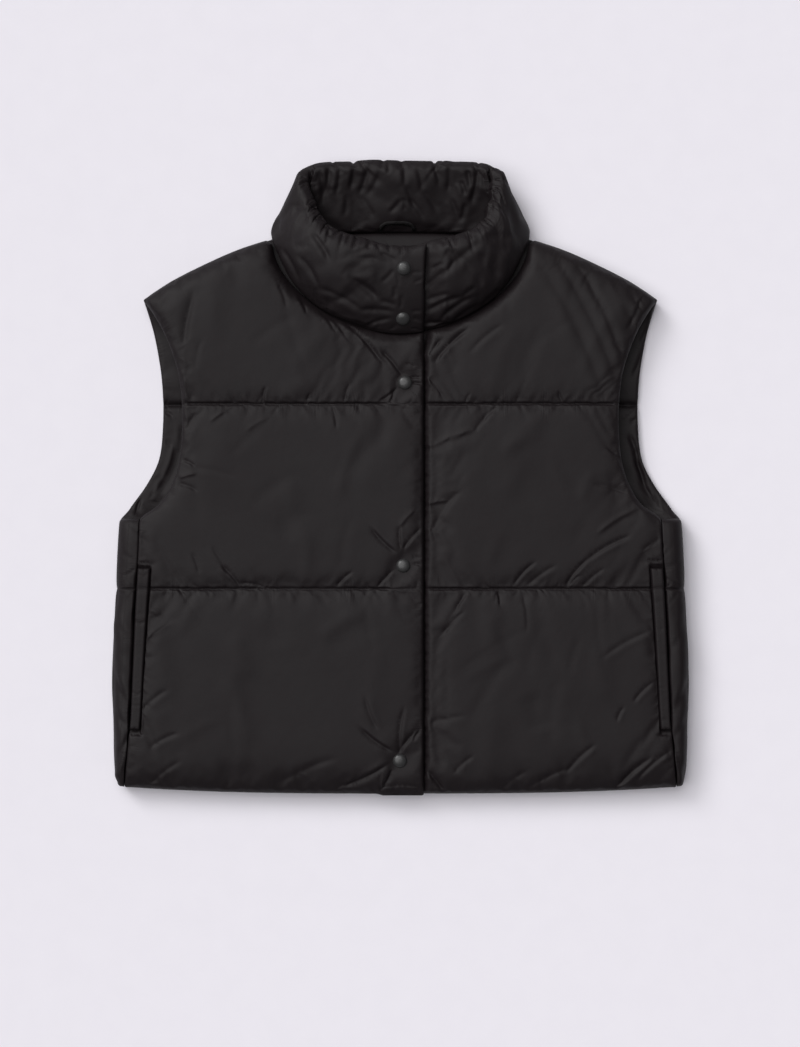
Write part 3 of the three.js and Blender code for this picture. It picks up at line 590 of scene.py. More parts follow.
def front_panel(name, side):
    rows = RIGHT_CREASES if side < 0 else LEFT_CREASES
    here = front_outline(side) * (side, 1)
    closed = (np.vstack([here, here[:1]]),)

    def shared(x, y):
        share = 0.5 + 0.37 * by_side_seam(side, x, y)
        return mix(front_inside(side, x, y), front_top(side, x, y), share)

    def outer(x, y):
        share = edge_round(nearest(closed, x, y)[0], edge_radius(side, x, y))
        return mix(shared(x, y), front_top(side, x, y), share)

    def inner(x, y):
        return mix(shared(x, y), front_inside(side, x, y), edge_round(nearest(closed, x, y)[0], 3.8))

    piece = padded_panel(name, here, fine_lines(side, rows), 5.0, outer, inner, 11 + side)
    x, y, z = coords(piece).T
    edge_far = nearest(closed, x, y)[0]
    seam_far = seam_distance(y)
    held = (z < outer(x, y) - 0.3) | (edge_far < 0.5) | (seam_far < 0.5) | (snap_distance(x, y) < 7.5)
    held |= in_welt(side * x, y) > 0.3
    if side > 0:
        held |= x < PLACKET_X + 3
    cap = 1.6 - 1.1 * np.exp(-seam_far / 7)
    fill_with_air(piece, held, np.exp(-np.minimum(seam_far, edge_far) / 14), 2.4, 18, cap)
    finer(piece)
    shape_front(piece, side, closed, rows)
    return piece


def shape_front(piece, side, closed, rows):
    """Puckers along the seams, and the creases that are pressed into the front."""
    points = coords(piece)
    x, y = points.T[:2]
    facing = np.clip(normals(piece)[:, 2], 0, 1)
    edge_far = nearest(closed, x, y)[0]
    low_x, high_x = (-225, 0) if side < 0 else (30, 225)
    slack = slack_folds(130 + side, (low_x, -285, high_x, -110), 18)
    slack += slack_folds(133 + side, (low_x, -95, high_x, 60), 15)
    slack += slack_folds(136 + side, (low_x * 0.85, 70, high_x * 0.85, 170), 10)
    depth = (creases(rows, x, y) + creases(slack, x, y)) * smooth(0.5, 4, edge_far)
    for number, seam_y in enumerate((HIGH_SEAM_Y, LOW_SEAM_Y)):
        line = (path([-250, 250], seam_y),)
        for above in (False, True):
            seed = 40 + side + 4 * number + 2 * above
            depth += np.where((y > seam_y) == above, gathers(line, x, y, seed, 0.6, 6.0, 10.0), 0)
            depth += np.where((y > seam_y) == above, gathers(line, x, y, seed + 200, 0.5, 16.0, 27.0), 0)
    depth += gathers(closed, x, y, 50 + side, 0.7, 6.0, 11.0) * smooth(0.6, 2.5, edge_far)
    seam_far = seam_distance(y)
    depth *= smooth(0.2, 1.6, seam_far) * facing
    depth *= smooth(6.3, 8.0, snap_distance(x, y)) * (1 - in_welt(side * x, y))
    if side > 0:
        depth *= smooth(PLACKET_X - 1, PLACKET_X + 3, x)
    points[:, 2] -= depth
    set_coords(piece, points)
    seams = (path([-250, 250], HIGH_SEAM_Y), path([-250, 250], LOW_SEAM_Y), *closed)
    mark_seams(piece, *nearest(seams, x, y))


# The back, made on a grid from the hem up, with its sides wrapped round to the front

FLAT_SHARES = np.concatenate([np.linspace(0, 0.72, 9)[:-1], np.linspace(0.72, 0.945, 18)])
FOLD_ANGLES = np.concatenate([np.linspace(-90, 0, 8), np.linspace(0, 90, 9)[1:]])
FREE_SHARES = np.array([0.953, 0.961, 0.969, 0.977, 0.985, 0.991, 0.996, 1.0])
STRIP_SHARES = np.array([0.15, 0.3, 0.44, 0.56, 0.67, 0.77, 0.85, 0.9, 0.94, 0.97, 0.985, 1.0])


def back_inside(x, y):
    """Height of the back's inner cloth, which shows in the armholes, quilted and wrinkled."""
    out = np.abs(x)
    inward = np.clip(front_edge_at(y) - out, 0, None)
    shown = smooth(UNDERARM_Y - 4, UNDERARM_Y + 6, y) * (1 - smooth(135, 166, y))
    shown = shown * (1 - smooth(6, 24, inward))
    layer = layer_at(x, y)
    height = layer - GAP / 2 - (layer - 8.6) * shown
    near = seam_distance(y)
    notch = 3.6 * np.exp(-(near / 1.8) ** 1.2) + 1.2 * np.exp(-near / 6)
    wave = 0.45 * np.sin(y / 7.3 + np.sin(y / 19 + x / 30) * 2)
    return height - notch - smooth(150, 190, out) * (wave + 0.5)


def back_section(y):
    """One row of the back at a height: where its outer and inner cloth lie, from the middle outwards."""
    edge = float(outline_at(y))
    strip = edge - float(front_edge_at(min(y, UNDERARM_Y)))
    wrap = min(SIDE_WRAP, strip * 0.7)
    wall = min(FOLD_WALL, strip * 0.6)
    loft = FULL_LOFT * float(pillow(np.abs(y - LOW_SEAM_Y)))
    loft *= (1 - 0.26 * math.exp(-max(0, y - HEM_Y) / 15)) * (1 - 0.3 * math.exp(-max(0, UNDERARM_Y - y) / 5))

    def placed(x):
        return y + hem_rise(x, y) + back_neck_rise(x, y)

    turn_x = edge - wrap
    layer = float(layer_at(turn_x, placed(turn_x)))
    top = layer + loft
    free = float(smooth(UNDERARM_Y, UNDERARM_Y + 14, y))

    flat_x = mix(turn_x, edge * FREE_SHARES[0], free) * FLAT_SHARES
    hem = (path([-300, 300], HEM_Y),)
    edge_far = np.minimum(nearest(hem, flat_x, y)[0], nearest(ARM_EDGE, flat_x, placed(flat_x))[0])
    lift = 2.2 * np.exp(-edge_far / 4)
    outer = [np.column_stack([flat_x, placed(flat_x), lift])]
    inner = [np.column_stack([flat_x, placed(flat_x), back_inside(flat_x, placed(flat_x))])]

    turn = np.radians(FOLD_ANGLES)
    x = edge - wrap + wrap * np.cos(turn)
    low = top / 2 * (1 + np.sin(turn))
    into = np.minimum(x, edge - wall + 1 - np.abs(FOLD_ANGLES) / 60)
    high = np.where(FOLD_ANGLES > 0, layer + 1.05, layer - GAP / 2 - 0.5) + np.where(FOLD_ANGLES == 0, 0.5, 0)
    half = len(FREE_SHARES)
    share = np.zeros(len(x))
    share[:half] = free
    free_x = np.append(edge * FREE_SHARES, np.full(len(x) - half, edge))
    free_low = 2.2 * np.exp(-nearest(ARM_EDGE, free_x, placed(free_x))[0] / 4)
    outer_x, inner_x = mix(x, free_x, share), mix(into, free_x, share)
    outer.append(np.column_stack([outer_x, placed(outer_x), mix(low, free_low, share)]))
    inner_z = mix(high, back_inside(free_x, placed(free_x)), share)
    inner.append(np.column_stack([inner_x, placed(inner_x), inner_z]))

    seam = edge - strip
    strip_x = mix(turn_x, seam, STRIP_SHARES)
    mouth = 1 - smooth(POCKET["top"] - 12, POCKET["top"] + 4, y)
    mouth = float(smooth(POCKET["bottom"] - 4, POCKET["bottom"] + 12, y) * mouth)
    rise = 0.85 * edge_round(strip_x - seam, mix(1.4, 2.8, mouth))
    rise = rise + 0.15 * edge_round(strip_x - seam, turn_x - seam)
    low_edge = mix(top - 1.2, layer + 9.5, mouth)
    outer.append(np.column_stack([strip_x, placed(strip_x), mix(low_edge, top, rise)]))
    inner.append(np.column_stack([strip_x, placed(strip_x), np.full(len(strip_x), layer + 0.8)]))
    return np.vstack(outer), np.vstack(inner)


def thick_wall(name, outer, inner, keep, radius, end_radius=None, end_level=0.5):
    """A closed wall over a grid of outer and inner points, rounded where its cells end.

    The first and the last column have their own radius, and close at their own level of the wall.
    """
    end_radius = end_radius or radius
    rows, columns = outer.shape[:2]
    level = np.full((rows, columns, 1), 0.5)
    level[:, :6] = level[:, -6:] = end_level
    middle = mix(inner, outer, level)
    cells = [(i, j) for i in range(rows - 1) for j in range(columns - 1) if keep(i, j)]
    kept = set(cells)
    rims = {radius: set(), end_radius: set()}
    for i, j in cells:
        for other, ends in (((i - 1, j), ((i, j), (i, j + 1))), ((i + 1, j), ((i + 1, j), (i + 1, j + 1))),
                            ((i, j - 1), ((i, j), (i + 1, j))), ((i, j + 1), ((i, j + 1), (i + 1, j + 1)))):
            if other not in kept:
                rims[radius if 0 <= other[1] < columns - 1 else end_radius].update(ends)
    share = np.ones((rows, columns, 1))
    for reach, rim in rims.items():
        tree = tree_of([middle[i, j] for i, j in rim])
        far = np.array([[tree.find(middle[i, j])[2] for j in range(columns)] for i in range(rows)])
        share *= edge_round(far, reach)[..., None]
    points = np.vstack([(middle + (outer - middle) * share).reshape(-1, 3),
                        (middle + (inner - middle) * share).reshape(-1, 3)])
    faces = []
    for i, j in cells:
        corners = (i * columns + j, i * columns + j + 1, (i + 1) * columns + j + 1, (i + 1) * columns + j)
        faces.append(corners)
        faces.append(tuple(k + rows * columns for k in reversed(corners)))
    return make_mesh(name, points, faces)


def back_panel():
    spans = ((HEM_Y, LOW_SEAM_Y, 41), (LOW_SEAM_Y, UNDERARM_Y, 21), (UNDERARM_Y, HIGH_SEAM_Y, 31),
             (HIGH_SEAM_Y, ARM_TOP_Y, 26), (ARM_TOP_Y, NECK_Y + 0.9, 20))
    rows = [HEM_Y - 0.3, HEM_Y + 0.6, HEM_Y + 1.8]
    for low, high, count in spans:
        t = np.linspace(0, 1, count + 1)[1:]
        rows.extend(mix(low, high, mix(t, smooth(0, 1, t), 0.75)))
    rows = np.sort([*rows, LOW_SEAM_Y - 0.9, LOW_SEAM_Y + 0.9, HIGH_SEAM_Y - 0.9, HIGH_SEAM_Y + 0.9])
    sections = [back_section(y) for y in rows]
    right = [np.array([section[k] for section in sections]) for k in (0, 1)]
    mirrored = np.array((-1, 1, 1))
    outer, inner = [np.concatenate([part[:, :0:-1] * mirrored, part], axis=1) for part in right]
    columns = outer.shape[1]
    strips = len(FOLD_ANGLES) - len(FREE_SHARES) + len(STRIP_SHARES)
    above = int(np.argmin(np.abs(rows - UNDERARM_Y)))
    piece = thick_wall("back_padded", outer, inner,
                       lambda i, j: i < above or strips <= j < columns - 1 - strips, 3.2, 0.8, 0.86)
    finer(piece)
    shape_back(piece)
    return piece


STRIP_CREASES = (           # on the wrapped sides: out and y of both ends, depth, width
    (267, -176, 253, -209, 1.0, 3.2), (266, -214, 252, -232, 1.0, 2.6), (261, -256, 250, -235, 0.9, 2.2),
    (265, -281, 253, -248, -0.9, 2.6), (257, -91, 244, -83.5, 0.8, 1.1), (264, -128, 250, -152, 0.6, 2.6),
    (262, -66, 246, -76, 0.5, 2.0),
)


def shape_back(piece):
    """Folds and puckers on the wrapped sides, and on the inner cloth that shows in the armholes."""
    points = coords(piece)
    x, y, z = points.T
    out = np.abs(x)
    on_strip = (y < UNDERARM_Y) * smooth(228, 240, out) * smooth(18, 21, z)
    seam = (FRONT_SIDE[0][FRONT_SIDE[0][:, 1] < UNDERARM_Y],)
    quilt = (path([200, 280], LOW_SEAM_Y),)
    depth = np.zeros(len(x))
    for side, seed in ((-1, 60), (1, 61)):
        puckers = gathers(seam, out, y, seed, 0.5, 6.0, 14.0)
        puckers = puckers + gathers(quilt, out, y, seed + 9, 0.9, 8.0, 6.0)
        slack = slack_folds(seed + 20, (236, -285, 262, -50), 16)
        pressed = creases(STRIP_CREASES, out, y + 4 * (side + 1)) * (1 - 0.15 * (side + 1))
        depth += (side * x > 0) * (puckers + 1.4 * creases(slack, out, y) + pressed)
    points -= normals(piece) * (depth * on_strip * smooth(1, 3, np.abs(y - LOW_SEAM_Y)))[:, None]
    shown = smooth(UNDERARM_Y - 3, UNDERARM_Y + 4, y) * (normals(piece)[:, 2] > 0.3) * smooth(150, 185, out)
    shown *= smooth(0.5, 3.5, nearest(ARM_EDGE, out, y)[0])
    wrinkles = creases(BACK_CREASES, x, y) + gathers((path([-260, 260], HIGH_SEAM_Y),), x, y, 77, 0.9, 7, 8)
    wrinkles += gathers((ARM_LINE * (-1, 1), ARM_LINE), x, y, 78, 0.8, 7, 9)
    points[:, 2] -= np.minimum(wrinkles, np.maximum(points[:, 2] - 4.0, 0)) * shown
    points[:, 2] = np.maximum(points[:, 2], 0)
    set_coords(piece, points)
    outline = np.vstack([path(outline_at(SIDE_YS), SIDE_YS), ARM_LINE[ARM_LINE[:, 1] > ARM_TOP_Y]])
    quilts = (path([0, 280], LOW_SEAM_Y), path([0, 280], HIGH_SEAM_Y))
    mark_seams(piece, *nearest((*quilts, *seam, outline), out, y))


# The collar

def closed_curve(knots, t):
    """A smooth closed curve through evenly numbered knots."""
    count = len(knots)
    place = np.mod(t, 1) * count
    i = np.floor(place).astype(int)
    f = (place - i)[..., None]
    p0, p1, p2, p3 = (knots[(i + k) % count] for k in (-1, 0, 1, 2))
    start, end = (p2 - p0) / 2, (p3 - p1) / 2
    return ((2 * f ** 3 - 3 * f ** 2 + 1) * p1 + (f ** 3 - 2 * f ** 2 + f) * start
            + (3 * f ** 2 - 2 * f ** 3) * p2 + (f ** 3 - f ** 2) * end)


def ring_of(place):
    half = np.array(COLLAR_SECTIONS[place], float)
    ring = np.vstack([half, half[-2:0:-1] * (-1, 1, 1)])
    if place == "rim":
        ring[:, 0] += COLLAR["lean"] * (1 - smooth(240, 275, ring[:, 1]))
    return ring


COLLAR_BASE, COLLAR_RIM = ring_of("base"), ring_of("rim")


def collar_middle(turn, share):
    return mix(closed_curve(COLLAR_BASE, turn), closed_curve(COLLAR_RIM, turn), np.asarray(share)[..., None])


def collar_normal(turn, share):
    step = 0.004
    along = collar_middle(turn + step, share) - collar_middle(turn - step, share)
    up = collar_middle(turn, np.ones_like(share)) - collar_middle(turn, np.zeros_like(share))
    cross = np.cross(along, up)
    return cross / np.linalg.norm(cross, axis=-1, keepdims=True)


def collar_point(turn, share, face):
    turn, share = np.broadcast_arrays(np.asarray(turn, float), np.asarray(share, float))
    lap = np.maximum(1 - smooth(0.02, 0.06, turn), smooth(0.94, 0.98, turn))
    full = mix(COLLAR["wall"], COLLAR["lap"] + 1, lap)
    low = np.minimum(COLLAR["seam"], full)
    swollen = mix(low, full, (1 - np.exp(-np.maximum(share, 0) * COLLAR_TALL / 4)) ** 0.8)
    roll = np.sqrt(np.maximum(0, 1 - np.maximum(0, (share - 0.88) / 0.12) ** 2))
    side = np.where(turn > 0.5, 1, -1)
    aside = smooth(0.17, 0.3, np.minimum(turn, 1 - turn))
    bow = COLLAR["bow"] * np.sin(np.pi * np.maximum(share, 0)) * (1 - 0.4 * lap - 0.9 * aside)
    bow = bow + lap * side * (COLLAR["lap"] / 2 + 0.25)
    out = bow + face * swollen * roll / 2
    return collar_middle(turn, share) + collar_normal(turn, share) * out[..., None]


def collar():
    turns = np.linspace(COLLAR["under"], COLLAR["over"], 261)
    low = np.linspace(-0.03, 0.09, 9)[:-1]
    rim = 0.88 + 0.12 * np.sin(np.linspace(0, np.pi / 2, 8))
    shares = np.concatenate([low, np.linspace(0.09, 0.88, 24)[:-1], rim])
    grid = np.meshgrid(turns, shares)
    outer, inner = collar_point(*grid, 1), collar_point(*grid, -1)
    piece = thick_wall("collar_padded", outer, inner, lambda i, j: True, 3.0)
    start = coords(piece)
    turn, share, _ = collar_coordinates(start)
    seats = [seat_on(piece, *SNAPS[name])[0] for name in ("snap_1", "snap_2")]
    snap_far = np.min([np.linalg.norm(start - seat, axis=1) for seat in seats], axis=0)
    from_edge = np.minimum(share, 1 - share) * COLLAR_TALL
    from_end = np.minimum(turn - COLLAR["under"], COLLAR["over"] - turn) * COLLAR_ROUND
    held = (from_edge < 1.2) | (snap_far < 8)
    lap = (np.abs(start[:, 0]) < PLACKET_X + 2) & (start[:, 1] < 224)
    fill_with_air(piece, held | lap, np.exp(-np.minimum(from_edge, np.abs(from_end)) / 14), 4.0, 16, 3.6)
    finer(piece)
    points = coords(piece)
    points -= collar_folds(piece, points)
    points[:, 2] = np.maximum(points[:, 2], 0)
    set_coords(piece, points)
    return piece


def collar_coordinates(points):
    """The turn and the share of the collar nearest to each point, and whether it is on the outer face."""
    turns, shares = np.meshgrid(np.linspace(0, 1, 241)[:-1], np.linspace(0, 1, 39))
    middle = collar_middle(turns, shares).reshape(-1, 3)
    tree = tree_of(middle)
    near = np.array([tree.find(point)[1] for point in points])
    turn, share = turns.ravel()[near], shares.ravel()[near]
    offset = points - middle[near]
    along = collar_middle(turn + 0.004, share) - collar_middle(turn - 0.004, share)
    up = collar_middle(turn, np.ones_like(turn)) - collar_middle(turn, np.zeros_like(turn))
    turn = turn + 0.008 * np.sum(offset * along, axis=1) / np.sum(along * along, axis=1)
    share = share + np.sum(offset * up, axis=1) / np.sum(up * up, axis=1)
    outward = np.sum(offset * collar_normal(turn, share), axis=1) > 0
    return turn, share, outward


def collar_folds(piece, points):
    """How far each point of the collar moves for its creases, its puckers and the notches in its rim."""
    turn, share, outward = collar_coordinates(points)
    x, y = points.T[:2]
    up = np.clip(normals(piece)[:, 2] * 3, 0, 1)
    depth = np.where(outward, creases(COLLAR_CREASES, x, y), creases(COLLAR_INSIDE_CREASES, x, y)) * up
    around, tall = turn * COLLAR_ROUND, share * COLLAR_TALL
    neck, rim = path([0, COLLAR_ROUND], 0), path([0, COLLAR_ROUND], COLLAR_TALL)
    depth += gathers((neck,), around, tall, 90, 0.8, 8, 14) * smooth(1, 4, tall)
    depth += gathers((rim,), around, tall, 91, 1.9, 9, 12) * smooth(0.3, 2, COLLAR_TALL - tall)
    slack = slack_folds(150, (0, 6, COLLAR_ROUND, 56), 46)
    depth += np.where(outward, 1.3, 1.6) * creases(slack, around, tall)
    mark_seams(piece, *nearest((neck, rim), around, tall))
    lap = (np.abs(x) < PLACKET_X + 1) & (y < 222) & outward
    depth *= np.where(lap, 0.7, 1) * np.where(lap, smooth(6.5, 9, snap_distance(x, y)), 1)
    up_way = collar_middle(turn, np.ones_like(turn)) - collar_middle(turn, np.zeros_like(turn))
    up_way /= np.linalg.norm(up_way, axis=1)[:, None]
    notch = gathers((rim,), around, tall, 92, 2.0, 12, 17) * smooth(COLLAR_TALL - 16, COLLAR_TALL - 2, tall)
    return normals(piece) * depth[:, None] + up_way * notch[:, None]


def seat_on(piece, x, y, radius=SNAP_RADIUS):
    """Where a disc lies on a piece as seen from above: its centre, and the way it faces."""
    ring = []
    for turn in np.linspace(0, 2 * math.pi, 13)[:-1]:
        start = Vector(((x + radius * math.cos(turn)) * MM, (y + radius * math.sin(turn)) * MM, 0.2))
        ring.append(np.array(piece.ray_cast(start, Vector((0, 0, -1)))[1]) / MM)
    middle = np.mean(ring, axis=0)
    normal = np.linalg.svd(ring - middle)[2][2]
    normal *= math.copysign(1, normal[2])
    return middle, normal


# Pocket welts, the hanger loop and the snaps

def pocket_welt(name, side):
    """A narrow padded strip that lies on the front beside the side seam."""
    ys = np.linspace(POCKET["bottom"], POCKET["top"], 60)
    across = np.linspace(0, 1, 13)
    grid_y, share = np.meshgrid(ys, across, indexing="ij")
    width = mix(POCKET["bottom_width"], POCKET["top_width"], (grid_y - ys[0]) / (ys[-1] - ys[0]))
    out = front_edge_at(grid_y) - GAP - width * share
    y = grid_y + hem_rise(out, grid_y)
    base = layer_at(out, y) + GAP * 1.5 + WELT_SEAT
    crown = 1.6 + POCKET["thick"] * (1 - (2 * share - 1) ** 10)
    dip = 2.0 * np.exp(-(np.abs(y - LOW_SEAM_Y) / 1.5) ** 1.2)
    outer = np.stack([side * out, y, base + crown - dip], axis=-1)
    inner = np.stack([side * out, y, base], axis=-1)
    piece = thick_wall(name, outer, inner, lambda i, j: True, 1.3, 1.0, 0.82)
    finer(piece)
    points = coords(piece)
    x, y = points.T[:2]
    line = (path(front_edge_at(ys) - 6, ys),)
    points[:, 2] -= gathers(line, np.abs(x), y, 120 + side, 0.5, 9, 19) * (normals(piece)[:, 2] > 0.2)
    set_coords(piece, points)
    edges = (path(front_edge_at(ys), ys), path(front_edge_at(ys) - POCKET["top_width"], ys))
    mark_seams(piece, *nearest(edges, np.abs(x), y))
    return piece


LOOP = {"x": -3.0, "span": 35.0, "foot": 230.0, "rise": 8.5, "tape": 3.4, "thick": 1.0, "clear": 0.5}


def hanger_loop(piece_below):
    """A narrow tape that arches from the back neck seam, flat on the collar's inside."""
    points = coords(piece_below)
    low = points[(np.abs(points[:, 0]) < 30) & (points[:, 1] > 226) & (points[:, 1] < 245)]
    tree = tree_of(low * (1, 1, 0))
    layers = []
    for raise_by in (LOOP["thick"], 0):
        rows = []
        for edge in np.linspace(0, 1, 4):
            s = np.linspace(-1, 1, 41)
            half = LOOP["span"] / 2 - LOOP["tape"] * (1 - edge)
            x = LOOP["x"] + half * s
            y = LOOP["foot"] + (LOOP["rise"] - LOOP["tape"] * (1 - edge)) * np.sqrt(np.maximum(0, 1 - s ** 4))
            z = [max(low[k][2] for _, k, _ in tree.find_n((a, b, 0), 10)) for a, b in zip(x, y)]
            rows.append(np.column_stack([x, y, np.array(z) + LOOP["clear"] + raise_by]))
        layers.append(np.array(rows))
    return thick_wall("loop_tape", layers[0], layers[1], lambda i, j: True, 0.4)


def snap_cap(name, seat, normal):
    """A domed snap cap: a disc raised ring by ring into a dome, with a thin rolled rim."""
    bpy.ops.object.select_all(action="DESELECT")
    bpy.ops.mesh.primitive_cylinder_add(vertices=48, radius=SNAP_RADIUS * MM, depth=0.6 * MM,
                                        location=(0, 0, 0.3 * MM), end_fill_type="NGON")
    cap = bpy.context.object
    cap.name = name
    bpy.ops.object.mode_set(mode="EDIT")
    bpy.ops.mesh.select_mode(type="FACE")
    bpy.ops.mesh.select_all(action="DESELECT")
    form = bmesh.from_edit_mesh(cap.data)
    form.faces.ensure_lookup_table()
    for face in form.faces:
        face.select_set(face.normal.z > 0.9)
    bmesh.update_edit_mesh(cap.data)
    steps = ((0.12, 0.3), (0.3, 0.62), (0.6, 0.7), (0.9, 0.6), (1.1, 0.42), (1.2, 0.26), (1.2, 0.12))
    for inset, rise in steps:
        bpy.ops.mesh.inset(thickness=inset * MM, depth=0)
        bpy.ops.transform.translate(value=(0, 0, rise * MM))
    bpy.ops.mesh.select_all(action="SELECT")
    bpy.ops.mesh.normals_make_consistent(inside=False)
    bpy.ops.object.mode_set(mode="OBJECT")
    bevel = cap.modifiers.new("edge", "BEVEL")
    bevel.width, bevel.segments = 0.18 * MM, 2
    bevel.limit_method, bevel.angle_limit = "ANGLE", math.radians(35)
    bpy.ops.object.modifier_apply(modifier=bevel.name)
    finer(cap)
    turn = Vector((0, 0, 1)).rotation_difference(Vector(normal)).to_matrix().to_4x4()
    cap.data.transform(Matrix.Translation(Vector(seat - normal * 0.2) * MM) @ turn)
    cap.matrix_world = Matrix.Identity(4)
    return cap


# Shader maths

class Value:
    """A shader socket that takes part in Python expressions, each adding its Math node."""

    def __init__(self, tree, socket):
        self.tree, self.socket = tree, socket

    def node(self, kind, settings=None, **inputs):
        made = self.tree.nodes.new(kind)
        for key, value in (settings or {}).items():
            setattr(made, key, value)
        for key, value in inputs.items():
            self.feed(made.inputs[int(key[1:]) if key[1:].isdigit() else key.replace("_", " ")], value)
        return made

    def feed(self, socket, value):
        if isinstance(value, Value):
            self.tree.links.new(value.socket, socket)
        else:
            socket.default_value = value

    def of(self, made, output=0):
        return Value(self.tree, made.outputs[output])

    def maths(self, operation, other, reflected=False):
        pair = (other, self) if reflected else (self, other)
        return self.of(self.node("ShaderNodeMath", {"operation": operation}, i0=pair[0], i1=pair[1]))

    def __add__(self, other):
        return self.maths("ADD", other)

    def __sub__(self, other):
        return self.maths("SUBTRACT", other)

    def __rsub__(self, other):
        return self.maths("SUBTRACT", other, True)

    def __mul__(self, other):
        return self.maths("MULTIPLY", other)

    __radd__, __rmul__ = __add__, __mul__


def new_material(name):
    material = bpy.data.materials.new(name)
    material.use_nodes = True
    tree = material.node_tree
    shader = next(node for node in tree.nodes if node.type == "BSDF_PRINCIPLED")
    place = tree.nodes.new("ShaderNodeTexCoord")
    return material, shader, Value(tree, place.outputs["Object"])


def noise_of(place, scale, detail=2.0, rough=0.5, stretch=(1, 1, 1)):
    mapped = place.of(place.node("ShaderNodeMapping", None, Vector=place, Scale=stretch))
    made = place.node("ShaderNodeTexNoise", None, Vector=mapped, Scale=scale, Detail=detail, Roughness=rough)
    return place.of(made)


def blend_colour(place, low, high, share):
    made = place.node("ShaderNodeMix", {"data_type": "RGBA"}, i0=share, i6=(*low, 1), i7=(*high, 1))
    return place.of(made, 2)


def bump(place, height, strength, distance, below=None):
    made = place.node("ShaderNodeBump", None, Height=height, Strength=strength, Distance=distance)
    if below is not None:
        place.feed(made.inputs["Normal"], below)
    return place.of(made)


def nylon(name, dark, pale, rough):
    """Matte black nylon: a fine plain weave, small soft wrinkles, and a slightly uneven sheen."""
    material, shader, place = new_material(name)
    patches = noise_of(place, 16, 3)
    fine = noise_of(place, 240, 2)
    warp = place.of(place.node("ShaderNodeTexWave", {"bands_direction": "X"}, Vector=place, Scale=520))
    weft = place.of(place.node("ShaderNodeTexWave", {"bands_direction": "Y"}, Vector=place, Scale=520))
    weave = warp * weft
    place.feed(shader.inputs["Base Color"], blend_colour(place, dark, pale, patches * 0.6 + fine * 0.3))
    place.feed(shader.inputs["Roughness"], patches * 0.16 + (rough - 0.08))
    soft = noise_of(place, 34, 3, 0.55)
    wrinkled = bump(place, soft * 0.7 + noise_of(place, 110, 3, 0.6) * 0.2, 0.5, 0.0012)
    stitching = place.of(place.node("ShaderNodeAttribute", {"attribute_name": "stitching"}), 1)
    parts = place.node("ShaderNodeSeparateXYZ", None, i0=stitching)
    near = (1 - place.of(parts, 0) * 0.045).maths("MAXIMUM", 0.0)
    streaks = noise_of(stitching, 1.0, 2, 0.5, (0.035, 0.24, 1))
    valley = ((streaks - 0.5).maths("ABSOLUTE", 0.0) * 9).maths("MINIMUM", 1.0)
    patchy = (noise_of(stitching, 1.0, 1, 0.5, (0.01, 0.045, 1)) - 0.5) * 5
    patchy = patchy.maths("MAXIMUM", 0.0).maths("MINIMUM", 1.0)
    puckered = bump(place, valley * near * near * patchy, 0.5, 0.0005, wrinkled)
    place.feed(shader.inputs["Normal"], bump(place, weave, 0.08, 0.0002, puckered))
    shader.inputs["Specular IOR Level"].default_value = 0.235
    return material


def painted_metal():
    """Dark satin paint on a pressed metal cap."""
    material, shader, place = new_material("snap_paint")
    mottle = noise_of(place, 600, 3)
    colour = blend_colour(place, (0.020, 0.0195, 0.020), (0.034, 0.0335, 0.034), mottle)
    place.feed(shader.inputs["Base Color"], colour)
    place.feed(shader.inputs["Roughness"], mottle * 0.15 + 0.27)
    place.feed(shader.inputs["Normal"], bump(place, noise_of(place, 2600, 2), 0.12, 0.0001))
    shader.inputs["Specular IOR Level"].default_value = 0.5
    return material


def floor_paint():
    material, shader, place = new_material("floor_paint")
    grain = noise_of(place, 40, 3)
    colour = blend_colour(place, (0.80, 0.774, 0.832), (0.83, 0.804, 0.861), grain)
    place.feed(shader.inputs["Base Color"], colour)
    shader.inputs["Roughness"].default_value = 0.9
    return material


def wear(piece, material):
    piece.data.materials.clear()
    piece.data.materials.append(material)


def belongs(piece, node, material):
    wear(piece, material)
    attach(piece, "root")
    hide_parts(node)


SUNS = (                    # the way the light travels, its angle across in degrees, its strength
    ("key", (1, -1, -1.0), 24, 1.05),
    ("overhead", (0.38, -0.28, -1), 70, 2.42),
)


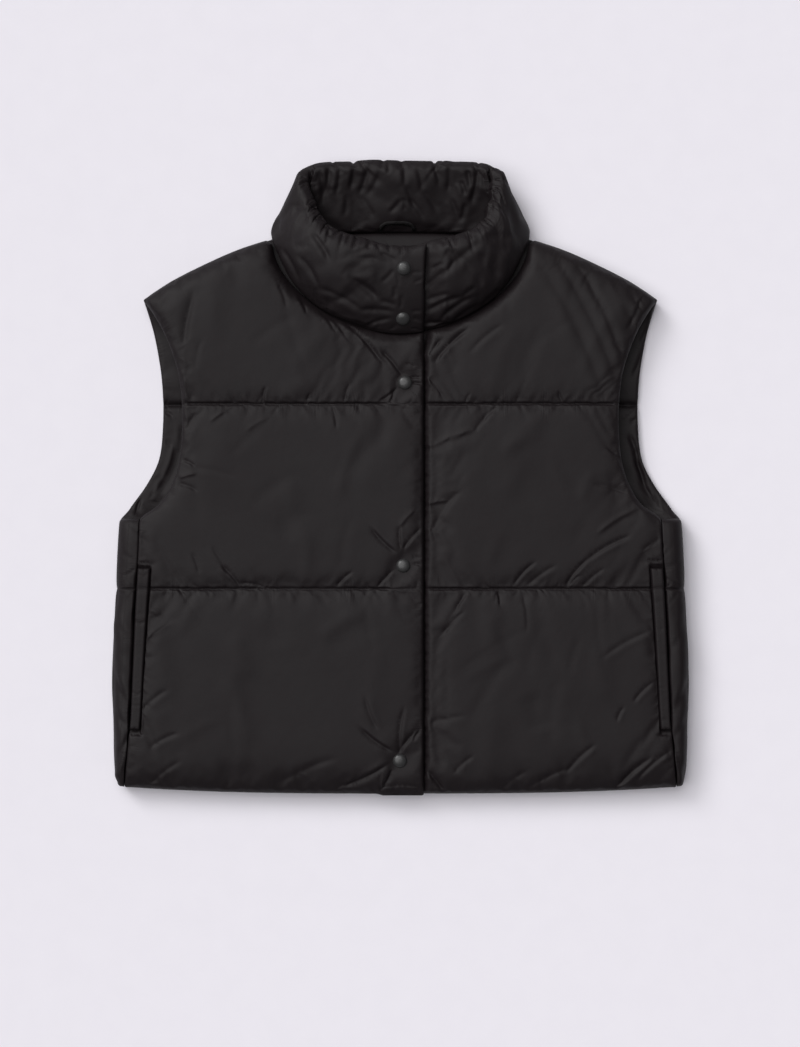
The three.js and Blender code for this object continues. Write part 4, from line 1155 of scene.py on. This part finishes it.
def floor_and_light():
    bpy.ops.object.select_all(action="DESELECT")
    bpy.ops.mesh.primitive_plane_add(size=9, location=(0, 0, 0))
    floor = bpy.context.object
    floor.name = "floor"
    wear(floor, floor_paint())
    world = bpy.data.worlds.new("studio")
    bpy.context.scene.world = world
    world.use_nodes = True
    background = world.node_tree.nodes["Background"]
    background.inputs[0].default_value = (0.97, 0.97, 1.0, 1)
    background.inputs[1].default_value = 0.12
    for name, travel, spread, power in SUNS:
        light = bpy.data.lights.new(name, "SUN")
        light.angle, light.energy = math.radians(spread), power
        lamp = bpy.data.objects.new(name, light)
        bpy.context.scene.collection.objects.link(lamp)
        lamp.rotation_euler = Vector(travel).to_track_quat("-Z", "Y").to_euler()


def camera_above():
    """The photo's view: straight down, 0.93 mm a pixel at the height of the vest's outline."""
    distance, outline_height, pixel, photo_height = 2.4, 0.016, 0.00093, 1047
    centre_x, centre_y = -0.0004, -0.0423
    view = bpy.data.cameras.new("camera")
    view.sensor_width = 36
    view.lens = 36 * (distance - outline_height) / (photo_height * pixel)
    camera = bpy.data.objects.new("camera", view)
    bpy.context.scene.collection.objects.link(camera)
    camera.location = (centre_x, centre_y, distance)
    camera.rotation_euler = (0, 0, 0)
    bpy.context.scene.camera = camera


camera_above()
shell = nylon("shell_nylon", (0.0050, 0.0030, 0.0038), (0.0082, 0.0052, 0.0062), 0.60)
tape = nylon("loop_tape_weave", (0.0045, 0.0035, 0.0040), (0.0085, 0.0070, 0.0075), 0.75)
paint = painted_metal()

right = front_panel("front_right_padded", -1)
belongs(right, "front_right", shell)
left = front_panel("front_left_padded", 1)
belongs(left, "front_left", shell)
back = back_panel()
belongs(back, "back_panel", shell)
stand = collar()
belongs(stand, "collar", shell)
for word, side in (("right", -1), ("left", 1)):
    welt = pocket_welt(f"welt_{word}", side)
    belongs(welt, f"pocket_welt_{word}", shell)
loop = hanger_loop(stand)
belongs(loop, "hanger_loop", tape)

for name, (x, y) in SNAPS.items():
    cap = snap_cap(f"{name}_cap", *seat_on(stand if y > neckline_y(np.array(x)) else right, x, y))
    belongs(cap, name, paint)

floor_and_light()
bpy.context.scene.view_settings.view_transform = "Standard"
